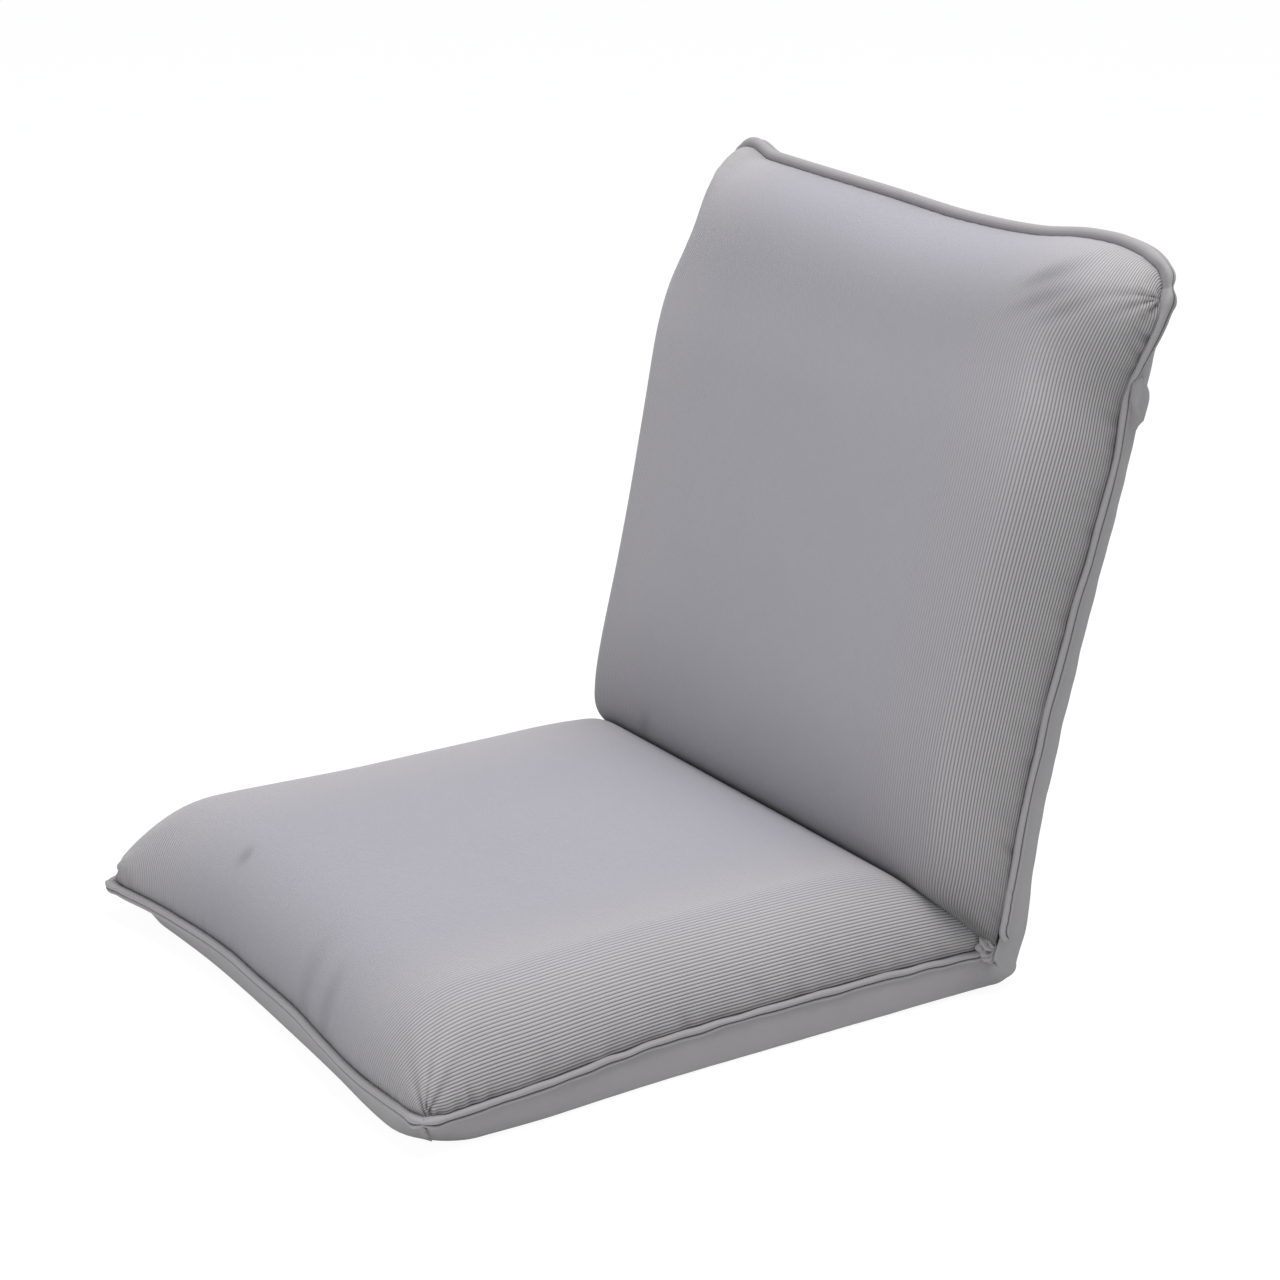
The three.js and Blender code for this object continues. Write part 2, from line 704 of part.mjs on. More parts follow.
function backHingePieces(side, centre) {
  const cheekOffset = stackReach - cheekThickness / 2;
  const outward = Math.sign(centre) * cheekOffset;
  const place = rivetPlace(backPanel);
  const tube = rivet(tubeRivetRadius, tubeHead.radius, tubeHead.thickness, tubeRadius, centre, place, 0);
  const pivot = rivet(pivotRadius, pivotHead.radius, pivotHead.thickness, stackReach, centre, 0, 0);
  const pin = rivet(pinRadius, pinHead.radius, pinHead.thickness, stackReach, centre, pawlPlace, 0);
  return [
    mesh(`${side}_outer_cheek`, cheek(centre + outward), zincSteel()),
    mesh(`${side}_inner_cheek`, cheek(centre - outward), zincSteel()),
    mesh(`${side}_plug_bar`, plugBar(centre), zincSteel()),
    mesh(`${side}_pivot_rivet`, pivot, zincSteel()),
    mesh(`${side}_pawl`, pawl(centre), zincSteel()),
    mesh(`${side}_pawl_pin`, pin, zincSteel()),
    mesh(`${side}_pawl_spring`, pawlSpring(centre), zincSteel()),
    mesh(`${side}_back_tube_rivet`, tube, zincSteel()),
  ];
}

const seat = panelPieces(seatPanel, "base_cover", seatCover());
const back = panelPieces(backPanel, "rear_cover", backCover());
for (const [side, hand] of [["left", 1], ["right", -1]]) {
  seat.add(...seatHingePieces(side, -hand * legHalfSpan));
  back.add(...backHingePieces(side, hand * legHalfSpan));
}

// Each panel runs along +Y from the hinge in its own frame: the seat is turned to the front, the back up
seat.rotation.z = Math.PI;
back.rotation.x = restAngle;
const chair = new THREE.Group();
chair.name = "folding_floor_chair";
for (const panel of [seat, back]) {
  panel.position.set(0, seatLength / 2, pivotHeight);
  chair.add(panel);
}

export default chair;
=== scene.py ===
import json
import math
import bmesh
import bpy
import numpy as np
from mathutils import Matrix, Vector


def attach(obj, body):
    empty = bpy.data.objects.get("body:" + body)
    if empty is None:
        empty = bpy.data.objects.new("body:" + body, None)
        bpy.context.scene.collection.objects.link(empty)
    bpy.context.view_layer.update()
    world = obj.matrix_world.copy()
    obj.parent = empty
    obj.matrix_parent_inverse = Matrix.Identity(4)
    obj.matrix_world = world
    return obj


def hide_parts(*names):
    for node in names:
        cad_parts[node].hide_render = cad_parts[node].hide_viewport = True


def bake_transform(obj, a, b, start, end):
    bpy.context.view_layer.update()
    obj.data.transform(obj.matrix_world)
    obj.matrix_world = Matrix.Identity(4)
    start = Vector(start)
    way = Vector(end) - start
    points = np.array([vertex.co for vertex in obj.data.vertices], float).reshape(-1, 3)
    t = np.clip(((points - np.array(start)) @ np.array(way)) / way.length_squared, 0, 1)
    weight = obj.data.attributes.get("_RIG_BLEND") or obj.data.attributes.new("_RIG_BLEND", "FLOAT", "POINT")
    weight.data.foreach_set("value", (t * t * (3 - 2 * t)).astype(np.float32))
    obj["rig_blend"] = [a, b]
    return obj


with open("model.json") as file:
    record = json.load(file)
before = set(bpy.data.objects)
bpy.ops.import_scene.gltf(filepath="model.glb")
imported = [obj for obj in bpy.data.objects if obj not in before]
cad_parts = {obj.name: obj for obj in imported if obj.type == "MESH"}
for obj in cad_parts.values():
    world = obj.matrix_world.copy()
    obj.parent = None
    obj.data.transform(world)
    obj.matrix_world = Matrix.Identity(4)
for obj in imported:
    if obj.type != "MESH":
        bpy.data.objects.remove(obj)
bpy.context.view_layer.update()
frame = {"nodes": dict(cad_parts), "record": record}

mm = 0.001

# The hinge, from the frame: both panels are drawn from its axis outwards
recline = next(j for j in frame["record"]["behaviour"]["joints"] if j["name"] == "backrest_recline")
pivot = np.array(recline["pos_m"], float)
restAngle = math.radians(recline["range_deg"][1])
halfOpening = (math.pi - restAngle) / 2
pivotRise = pivot[2] / mm


# Small helpers for curves and grids, all in millimetres
def smooth(low, high, value):
    t = np.clip((value - low) / (high - low), 0, 1)
    return t * t * (3 - 2 * t)


def curveThrough(points, at):
    x, y = np.array(points, float).T
    at = np.clip(at, x[0], x[-1])
    slope = np.gradient(y, x)
    i = np.clip(np.searchsorted(x, at, side="right") - 1, 0, len(x) - 2)
    step = x[i + 1] - x[i]
    t = (at - x[i]) / step
    near = (2 * t**3 - 3 * t**2 + 1) * y[i] + (t**3 - 2 * t**2 + t) * step * slope[i]
    return near + (3 * t**2 - 2 * t**3) * y[i + 1] + (t**3 - t**2) * step * slope[i + 1]


def softNoise(seed, *coordinates):
    # A sum of a few waves with seeded directions, from about -1 to 1
    rng = np.random.default_rng(seed)
    total = 0
    for _ in range(6):
        direction = rng.normal(size=len(coordinates))
        direction /= np.linalg.norm(direction)
        pitch = rng.uniform(0.6, 1.7)
        wave = sum(d * c for d, c in zip(direction, coordinates)) * pitch
        total = total + np.sin(2 * math.pi * (wave + rng.uniform()))
    return total / 3


def bell(*offsets):
    # 1 in the middle, falling off as each offset grows past its reach
    return np.exp(-sum((offset / reach) ** 2 for offset, reach in offsets))


def ring(count):
    # Each place on a closed ring, with the next one
    return np.arange(count), (np.arange(count) + 1) % count


def runAlong(points):
    # How far each point of a line is from its first one, along the line
    return np.concatenate([[0], np.linalg.norm(np.diff(points, axis=0), axis=-1).cumsum()])


def bisectorAt(t):
    return (t - pivotRise) / math.tan(halfOpening)


# The two panels: half widths along the panel and reaches across it, at the seam and at the outer face
seatShape = {
    "name": "seat",
    "hand": -1,
    # Depths of the painted shade at the crease, on the sides and at the free end
    "creaseShade": 0.06,
    "sideShade": 0.03,
    "endShade": [0.1, 0, 90],
    "cornerPull": -9,
    "endInset": 0,
    "endWelt": 1.25,
    "crossHeight": 1.6,
    "dimples": [
        (-100, 441, 6, 8, 0.9, 0.8),
        (-90, 431, 5, 9, 0.9, -0.8),
        (99, 478, 8, 13, 1.2, 0.5),
        (60, 474, 10, 18, 1.3, 0.4),
    ],
    "side": [
        (0, 244), (44, 240.5), (94, 238), (193, 236.8), (287, 236.8), (340, 240.5), (396, 245), (454, 246.5),
        (490, 247),
    ],
    "footSide": [(0, 244), (94, 240), (194, 238.5), (303, 239), (393, 242.5), (440, 241), (490, 239)],
    "end": [
        (-247, 492), (-225, 488.5), (-192, 482), (-137, 475.5), (-71, 472), (-21, 474.5), (47, 477.5), (101, 484),
        (166, 489.5), (215, 488), (247, 486),
    ],
    "footEnd": [(-247, 468), (-113, 466), (17, 472), (109, 478), (183, 484), (247, 483)],
    "length": 476,
    "seam": [(0, 33), (238, 33), (300, 32), (400, 29), (476, 27)],
    "creaseTop": 92,
    "top": 100,
    "rise": 90,
    "shoulder": 24,
    "roll": 74,
    "rollFall": 1.02,
    "edgeRadius": [(0, 60), (200, 55), (380, 54), (490, 60)],
    "crown": 0.03,
}
backShape = {
    "name": "back",
    "hand": 1,
    # Depths of the painted shade at the crease, on the sides and at the free end
    "creaseShade": 0.45,
    "sideShade": 0.17,
    "endShade": [0.22, 98, 50],
    "cornerPull": 10.5,
    "endInset": 4.5,
    "endWelt": 1.9,
    "crossHeight": 0.3,
    "dimples": [
        (195, 506, 8, 26, 0.5, 1.2),
        (208, 492, 7, 24, 0.6, 0.9),
        (228, 488, 6, 20, 0.7, 0.9),
        (176, 500, 8, 22, 0.5, -0.7),
        (-143, 62, 8, 14, 1.0, 0.6),
    ],
    "side": [
        (0, 256), (34, 255.5), (57, 253), (99, 249), (175, 247.5), (266, 250), (344, 255.5), (388, 257),
        (423, 255.5), (440, 257), (457, 262), (477, 269), (500, 274.5), (540, 276),
    ],
    "footSide": [
        (0, 249), (32, 252), (63, 247.5), (111, 243), (173, 243), (290, 245.5), (339, 248), (413, 250), (540, 250)
    ],
    "end": [
        (-271, 518), (-258, 533), (-215, 532), (-56, 530), (55, 528.5), (131, 533), (187, 541), (225, 541.5),
        (250, 537), (264, 530.5), (276, 518),
    ],
    "footEnd": [(-271, 512), (-160, 520), (0, 519), (160, 521), (271, 512)],
    "length": 529,
    "seam": [(0, 31), (50, 28.5), (150, 26.5), (330, 23.5), (400, 23), (450, 25), (490, 24.5), (529, 23)],
    "creaseTop": 97,
    "top": 111.5,
    "rise": 120,
    "shoulder": 15,
    "roll": 162,
    "rollFall": 1.02,
    "edgeRadius": [(0, 34), (200, 30), (330, 28), (400, 33), (450, 46), (520, 76)],
    "crown": 0.22,
}


def seamHeight(shape, s):
    return curveThrough(shape["seam"], s)


def toWorld(name, x, s, t):
    # Panel places (across, along, over the outer face) to metres in the shared frame
    h = t - pivotRise
    if name == "seat":
        y, z = -s, h
    else:
        y = s * math.cos(restAngle) - h * math.sin(restAngle)
        z = s * math.sin(restAngle) + h * math.cos(restAngle)
    x = np.broadcast_to(x, np.shape(y)) if np.ndim(x) == 0 else x
    return np.stack([x * mm, pivot[1] + y * mm, pivot[2] + z * mm], axis=-1)


def fromWorld(name, points):
    x = points[..., 0] / mm
    y, z = (points[..., 1] - pivot[1]) / mm, (points[..., 2] - pivot[2]) / mm
    if name == "seat":
        return x, -y, z + pivotRise
    s = y * math.cos(restAngle) + z * math.sin(restAngle)
    return x, s, z * math.cos(restAngle) - y * math.sin(restAngle) + pivotRise


# Meshes
def meshObject(name, points, faces, uv=None, marks=None, smoothFaces=True):
    mesh = bpy.data.meshes.new(name)
    faces = np.asarray(faces, np.int32)
    mesh.vertices.add(len(points))
    mesh.vertices.foreach_set("co", np.asarray(points, np.float32).ravel())
    corners = faces.shape[1]
    mesh.loops.add(faces.size)
    mesh.loops.foreach_set("vertex_index", faces.ravel())
    mesh.polygons.add(len(faces))
    mesh.polygons.foreach_set("loop_start", np.arange(len(faces), dtype=np.int32) * corners)
    mesh.update(calc_edges=True)
    mesh.polygons.foreach_set("use_smooth", np.full(len(faces), smoothFaces))
    if uv is not None:
        layer = mesh.uv_layers.new(name="cloth")
        layer.data.foreach_set("uv", np.asarray(uv, np.float32)[faces.ravel()].ravel())
    addMarks(mesh, marks or {})
    return linked(name, mesh)


def linked(name, data):
    obj = bpy.data.objects.new(name, data)
    bpy.context.scene.collection.objects.link(obj)
    return obj


def addMarks(mesh, marks):
    for key, values in marks.items():
        values = np.asarray(values, np.float32)
        vector = values.ndim == 2
        attribute = mesh.attributes.new(key, "FLOAT_VECTOR" if vector else "FLOAT", "POINT")
        attribute.data.foreach_set("vector" if vector else "value", values.ravel())


def lineObject(name, points, closed, marks):
    # A chain of points with their attributes, for the node trees to sweep or dress
    mesh = bpy.data.meshes.new(name)
    count = len(points)
    mesh.from_pydata(points.tolist(), [(i, (i + 1) % count) for i in range(count if closed else count - 1)], [])
    addMarks(mesh, marks)
    return linked(name, mesh)


def gridFaces(rows, columns, offset=0, closeColumns=False):
    wide = columns if closeColumns else columns - 1
    row, column = np.meshgrid(np.arange(rows - 1), np.arange(wide), indexing="ij")
    near, far = row * columns, (row + 1) * columns
    nxt = (column + 1) % columns
    return offset + np.stack([near + column, near + nxt, far + nxt, far + column], axis=-1).reshape(-1, 4)


def gridRim(rows, columns):
    # The grid's outer edge, in order
    return np.concatenate(
        [
            np.arange(columns),
            np.arange(2, rows) * columns - 1,
            rows * columns - 1 - np.arange(columns),
            (rows - 2 - np.arange(rows - 2)) * columns,
        ]
    )


def gridNormals(points, hand=1):
    along = np.gradient(points, axis=0)
    across = np.gradient(points, axis=1)
    normal = hand * np.cross(across, along)
    length = np.linalg.norm(normal, axis=-1, keepdims=True)
    return normal / np.maximum(length, 1e-12)


# Node trees: ribs, swept welts and stitches
def addNode(tree, kind, inputs=None, **settings):
    node = tree.nodes.new(kind)
    for key, value in settings.items():
        setattr(node, key, value)
    for key, value in (inputs or {}).items():
        if isinstance(value, bpy.types.NodeSocket):
            tree.links.new(value, node.inputs[key])
        else:
            node.inputs[key].default_value = value
    return node


def math2(tree, operation, a, b=None, c=None):
    inputs = {index: value for index, value in enumerate((a, b, c)) if value is not None}
    return addNode(tree, "ShaderNodeMath", inputs, operation=operation).outputs[0]


def product(tree, first, *others):
    for other in others:
        first = math2(tree, "MULTIPLY", first, other)
    return first


def storeValue(tree, geometry, name, value, kind="FLOAT", domain="POINT"):
    inputs = {"Geometry": geometry, "Name": name, "Value": value}
    return addNode(tree, "GeometryNodeStoreNamedAttribute", inputs, data_type=kind, domain=domain).outputs[0]


def geometryTree(name, inputs):
    tree = bpy.data.node_groups.new(name, "GeometryNodeTree")
    tree.interface.new_socket("Geometry", in_out="INPUT", socket_type="NodeSocketGeometry")
    for label, kind in {**inputs, "Material": "NodeSocketMaterial"}.items():
        tree.interface.new_socket(label, in_out="INPUT", socket_type=kind)
    tree.interface.new_socket("Geometry", in_out="OUTPUT", socket_type="NodeSocketGeometry")
    return tree, tree.nodes.new("NodeGroupInput").outputs


def closeTree(tree, given, geometry):
    smoothed = addNode(tree, "GeometryNodeSetShadeSmooth", {"Geometry": geometry})
    real = addNode(tree, "GeometryNodeRealizeInstances", {"Geometry": smoothed.outputs[0]})
    dressed = addNode(tree, "GeometryNodeSetMaterial", {"Geometry": real.outputs[0], "Material": given["Material"]})
    addNode(tree, "NodeGroupOutput", {"Geometry": dressed.outputs[0]})
    return tree


def field(tree, name, kind="FLOAT"):
    return addNode(tree, "GeometryNodeInputNamedAttribute", {"Name": name}, data_type=kind).outputs["Attribute"]


def vectorScaled(tree, vector, factor):
    return addNode(tree, "ShaderNodeVectorMath", {0: vector, "Scale": factor}, operation="SCALE").outputs[0]


def vectorSum(tree, a, b):
    return addNode(tree, "ShaderNodeVectorMath", {0: a, 1: b}, operation="ADD").outputs[0]


def applyTree(obj, tree, values, keep=()):
    modifier = obj.modifiers.new(tree.name, "NODES")
    modifier.node_group = tree
    sockets = {item.name: item.identifier for item in tree.interface.items_tree if item.in_out == "INPUT"}
    for label, value in values.items():
        modifier[sockets[label]] = value
    depsgraph = bpy.context.evaluated_depsgraph_get()
    mesh = bpy.data.meshes.new_from_object(
        obj.evaluated_get(depsgraph), preserve_all_data_layers=True, depsgraph=depsgraph
    )
    obj.modifiers.remove(modifier)
    old, obj.data = obj.data, mesh
    bpy.data.meshes.remove(old)
    mesh.name = obj.name
    for name in [a.name for a in mesh.attributes if a.domain == "POINT" and a.name not in (*keep, "position")]:
        mesh.attributes.remove(mesh.attributes[name])
    return obj


def ribTree():
    # Each rib is a rounded ridge between two valleys, raised off the smooth cloth along its outward direction
    tree, given = geometryTree("ribs", {"Rib Height": "NodeSocketFloat", "Roundness": "NodeSocketFloat"})
    part = math2(tree, "FRACT", math2(tree, "ADD", field(tree, "ribPlace"), 0.0001))
    away = math2(tree, "ABSOLUTE", math2(tree, "MULTIPLY_ADD", part, 2.0, -1.0))
    ridge = math2(tree, "SUBTRACT", 1.0, math2(tree, "POWER", away, given["Roundness"]))
    kept = storeValue(tree, given["Geometry"], "rib", ridge)
    lift = product(tree, field(tree, "rib"), field(tree, "ribEase"), given["Rib Height"])
    offset = vectorScaled(tree, field(tree, "outward", "FLOAT_VECTOR"), lift)
    moved = addNode(tree, "GeometryNodeSetPosition", {"Geometry": kept, "Offset": offset})
    return closeTree(tree, given, moved.outputs[0])


def weltTree():
    # The flange's section swept along its seam, fuller or flatter where the seam's own values say
    inputs = {name: "NodeSocketFloat" for name in ("Fullness", "Gather", "Flange")}
    tree, given = geometryTree("weltSweep", {"Section": "NodeSocketObject", **inputs})
    section = addNode(tree, "GeometryNodeObjectInfo", {"Object": given["Section"]})
    profile = addNode(tree, "GeometryNodeMeshToCurve", {"Mesh": section.outputs["Geometry"]})
    seam = addNode(tree, "GeometryNodeMeshToCurve", {"Mesh": given["Geometry"]})
    swept = addNode(
        tree,
        "GeometryNodeCurveToMesh",
        {"Curve": seam.outputs[0], "Profile Curve": profile.outputs[0], "Fill Caps": True},
    )
    reach = product(tree, field(tree, "sectionReach"), field(tree, "fullness"), given["Fullness"])
    gather = product(tree, field(tree, "lip"), field(tree, "gather"), given["Gather"])
    flange = product(tree, field(tree, "inner"), field(tree, "corner"), given["Flange"])
    out = math2(
        tree, "SUBTRACT", math2(tree, "ADD", reach, gather), math2(tree, "ADD", field(tree, "inward"), flange)
    )
    rise = product(tree, field(tree, "sectionRise"), field(tree, "thickness"), given["Fullness"])
    up = math2(tree, "ADD", rise, field(tree, "wobble"))
    steps = [
        vectorScaled(tree, field(tree, name, "FLOAT_VECTOR"), size)
        for name, size in (("outward", out), ("upward", up))
    ]
    offset = vectorSum(tree, *steps)
    place = vectorSum(tree, field(tree, "centre", "FLOAT_VECTOR"), offset)
    moved = addNode(tree, "GeometryNodeSetPosition", {"Geometry": swept.outputs[0], "Position": place})
    # Painted shade in the fold between the two ridges, weaker along the free end
    dark = product(tree, field(tree, "crease"), field(tree, "calm"))
    kept = storeValue(tree, moved.outputs[0], "valley", dark)
    both = addNode(tree, "ShaderNodeCombineXYZ", {"X": field(tree, "around"), "Y": field(tree, "run")})
    return closeTree(tree, given, storeValue(tree, kept, "cloth", both.outputs[0], "FLOAT2", "CORNER"))


def stitchTree():
    # Short thread stitches, end to end along a seam
    tree, given = geometryTree(
        "stitches", {"Pitch": "NodeSocketFloat", "Length": "NodeSocketFloat", "Thickness": "NodeSocketFloat"}
    )
    seam = addNode(tree, "GeometryNodeMeshToCurve", {"Mesh": given["Geometry"]})
    spaced = addNode(
        tree, "GeometryNodeResampleCurve", {"Curve": seam.outputs[0], "Length": given["Pitch"]}, mode="LENGTH"
    )
    bead = addNode(tree, "GeometryNodeMeshUVSphere", {"Segments": 6, "Rings": 4, "Radius": 0.5})
    size = addNode(
        tree, "ShaderNodeCombineXYZ", {"X": given["Thickness"], "Y": given["Thickness"], "Z": given["Length"]}
    )
    way = addNode(
        tree,
        "FunctionNodeAlignRotationToVector",
        {"Vector": addNode(tree, "GeometryNodeInputTangent").outputs[0]},
        axis="Z",
    )
    laid = addNode(
        tree,
        "GeometryNodeInstanceOnPoints",
        {
            "Points": spaced.outputs[0],
            "Instance": bead.outputs[0],
            "Rotation": way.outputs[0],
            "Scale": size.outputs[0],
        },
    )
    return closeTree(tree, given, laid.outputs[0])


# Ribbed pads
padLook = {
    "ribPitch": 2.6,
    "columnsPerRib": 3,
    "ribHeight": 0.8,
    "ribRoundness": 3,
    "endFaceRows": 8,
    "shoulderRows": 12,
    "topRows": 38,
    "rollRows": 52,
    "evenShare": 0.6,
    "riseShape": 2.2,
    "rollShape": 2.3,
    "pullReach": 24,
    "pullEnd": 0.18,
    "dimpleFloor": 34,
    "footRise": 2,
    "tuck": 2,
    "tuckReach": 4,
    "lidHeight": 38,
    "fanHeight": 2.2,
    "fanReach": 20,
    "crossPlace": 40,
    "earInset": 4,
    "earReach": 15,
    "cornerPuckers": (1.6, 42),
    "endPuckers": 0.3,
    "foldsPerRadian": 13,
    "crossPitch": 5.5,
    "crossReach": (12, 20),
    "puckerReach": 16,
    "puckerHeight": 0.6,
    "puckerPitch": (15, 60),
    "lidInset": 0.94,
    "tightest": 0.25,
    # Painted shade: in pucker hollows, towards the seam, towards the crease and on the sides
    "foldShadeDepth": 1.4,
    "seamShade": ((0.72, 4), (0.28, 22)),
    "creaseShadeReach": 105,
    "creaseShadeBand": ({"seat": 0, "back": 0.3}, 60, 26),
    "creaseCornerShade": (60, 75),
    "sideShadeReach": (20, 190),
    "sideShadeSpan": (0.55, 0.9),
    "simPitch": 13,
    "simCap": 4,
    "simFrames": 20,
    "simEase": ((45, 120), (0, 14)),
    "cloth": {
        "quality": 4,
        "mass": 0.25,
        "tension_stiffness": 20,
        "compression_stiffness": 12,
        "bending_stiffness": 1.5,
        "shrink_min": -0.012,
        "vertex_group_mass": "seam",
        "use_pressure": True,
        "uniform_pressure_force": 3,
    },
}


def padPath(shape, count):
    # The middle column from the seam in the crease, over the top and down to the free end's seam
    endFace, shoulder, top, roll = count
    foot = seamHeight(shape, 0) + padLook["footRise"]
    up = np.array([math.cos(halfOpening), math.sin(halfOpening)])
    start = np.array([bisectorAt(foot), foot])
    outS = bisectorAt(shape["creaseTop"]) + shape["shoulder"]
    turnOut = np.array([outS, topHeight(shape, outS)])
    slope = topHeight(shape, outS + 1) - turnOut[1]
    steep = math.tan(halfOpening)
    cornerS = (turnOut[1] - slope * outS - pivotRise) / (steep - slope)
    corner = np.array([cornerS, pivotRise + steep * cornerS])
    turnIn = corner - shape["shoulder"] * up
    q = np.linspace(0, 1, endFace, endpoint=False)[:, None]
    path = [start + (turnIn - start) * q]
    q = np.linspace(0, 1, shoulder, endpoint=False)[:, None]
    path.append((1 - q) ** 2 * turnIn + 2 * q * (1 - q) * corner + q**2 * turnOut)
    s = np.linspace(turnOut[0], shape["length"] - shape["roll"], top, endpoint=False)
    path.append(np.stack([s, topHeight(shape, s)], axis=-1))
    angle = np.linspace(0, math.pi / 2, roll)
    s = shape["length"] - shape["roll"] + shape["roll"] * np.sin(angle) ** (2 / padLook["rollShape"])
    end = seamHeight(shape, shape["length"]) + padLook["footRise"]
    t = end + (topHeight(shape, s) - end) * np.maximum(np.cos(angle), 0) ** shape["rollFall"]
    path.append(np.stack([s, t], axis=-1))
    return np.concatenate(path).T


def topHeight(shape, s):
    share = np.clip((s - bisectorAt(shape["creaseTop"])) / shape["rise"], 0, 1)
    grown = 1 - (1 - share) ** padLook["riseShape"]
    return shape["creaseTop"] + (shape["top"] - shape["creaseTop"]) * grown


def edgeRound(shape, u, halfWidth, s):
    radius = curveThrough(shape["edgeRadius"], s)
    inside = np.clip(halfWidth * (1 - np.abs(u)) / radius, 0, 1)
    return (1 - shape["crown"]) * np.sqrt(1 - (1 - inside) ** 2) + shape["crown"] * (1 - u**2)


def padGrid(shape, rowCount, columns):
    # The whole pad surface as a grid of rows along and columns across, the columns spaced evenly over the cloth
    sMid, tMid = (part[:, None] for part in padPath(shape, rowCount))
    along = np.clip((sMid - bisectorAt(tMid)) / (shape["length"] - bisectorAt(tMid)), 0, 1)
    edgeStart = bisectorAt(seamHeight(shape, 0))
    edgeEnd = (shape["end"][0][1] + shape["end"][-1][1]) / 2 - shape["endInset"]
    edgeS = edgeStart + along * (edgeEnd - edgeStart)
    halfWidth = curveThrough(shape["side"], edgeS)
    foot = seamHeight(shape, edgeS)
    fine = np.sin(np.linspace(-math.pi / 2, math.pi / 2, 1200))[None, :]
    height = foot + (tMid - foot) * edgeRound(shape, fine, halfWidth, sMid)
    arc = np.hypot(np.diff(fine * halfWidth, axis=1), np.diff(height, axis=1)).cumsum(axis=1)
    arc = np.concatenate([np.zeros((len(arc), 1)), arc], axis=1)
    share = np.linspace(0, 1, columns)
    middle = np.interp(share, arc[len(arc) // 2] / arc[len(arc) // 2, -1], fine[0])
    even = np.stack([np.interp(share, row / row[-1], fine[0]) for row in arc])
    u = middle[None, :] + (even - middle[None, :]) * padLook["evenShare"]
    u[:, 0], u[:, -1] = -1, 1
    t = foot + (tMid - foot) * edgeRound(shape, u, halfWidth, sMid)
    x = u * halfWidth
    start = bisectorAt(t)
    s = start + along * (curveThrough(shape["end"], u * shape["end"][-1][0]) - shape["endInset"] - start)
    # Towards the sides the seat's lower corner reaches in under the back's, which draws back
    fromSide = halfWidth * (1 - np.abs(u))
    pull = bell((fromSide, padLook["pullReach"])) * (1 - smooth(0, padLook["pullEnd"], along))
    s = s + shape["cornerPull"] * pull
    return x, s, t, arc


def simulateCloth(name, points, cap, hand):
    # The pad's cloth, held at its seam and pressed out by the foam, settles into soft unevenness
    rows, columns = points.shape[:2]
    obj = meshObject(name, points.reshape(-1, 3), gridFaces(rows, columns)[:, ::hand])
    pinned = obj.vertex_groups.new(name="seam")
    pinned.add(gridRim(rows, columns).tolist(), 1.0, "REPLACE")
    cloth = obj.modifiers.new("cloth", "CLOTH")
    for key, value in padLook["cloth"].items():
        setattr(cloth.settings, key, value)
    cloth.settings.effector_weights.gravity = 0
    cloth.collision_settings.use_collision = False
    cloth.point_cache.frame_end = padLook["simFrames"]
    scene = bpy.context.scene
    for step in range(padLook["simFrames"]):
        scene.frame_set(step + 1)
    evaluated = obj.evaluated_get(bpy.context.evaluated_depsgraph_get())
    moved = np.zeros(rows * columns * 3, np.float32)
    evaluated.data.vertices.foreach_get("co", moved)
    change = moved.reshape(rows, columns, 3) - points
    size = np.linalg.norm(change, axis=-1, keepdims=True)
    scene.frame_set(1)
    bpy.data.objects.remove(obj)
    return change * np.minimum(1, cap * mm / np.maximum(size, 1e-9))


def spread(coarse, rows, columns):
    # A coarse grid's values on a finer grid over the same surface
    def along(values, count):
        old = np.linspace(0, 1, values.shape[0])
        new = np.linspace(0, 1, count)
        i = np.clip(np.searchsorted(old, new, side="right") - 1, 0, len(old) - 2)
        t = ((new - old[i]) * (len(old) - 1))[:, None, None]
        before, after = values[np.maximum(i - 1, 0)], values[np.minimum(i + 2, len(old) - 1)]
        a, b = values[i], values[i + 1]
        return 0.5 * (
            2 * a + (b - before) * t + (
                2 * before - 5 * a + 4 * b - after
            ) * t**2 + (3 * a - before - 3 * b + after) * t**3
        )
    return along(along(coarse, rows).swapaxes(0, 1), columns).swapaxes(0, 1)


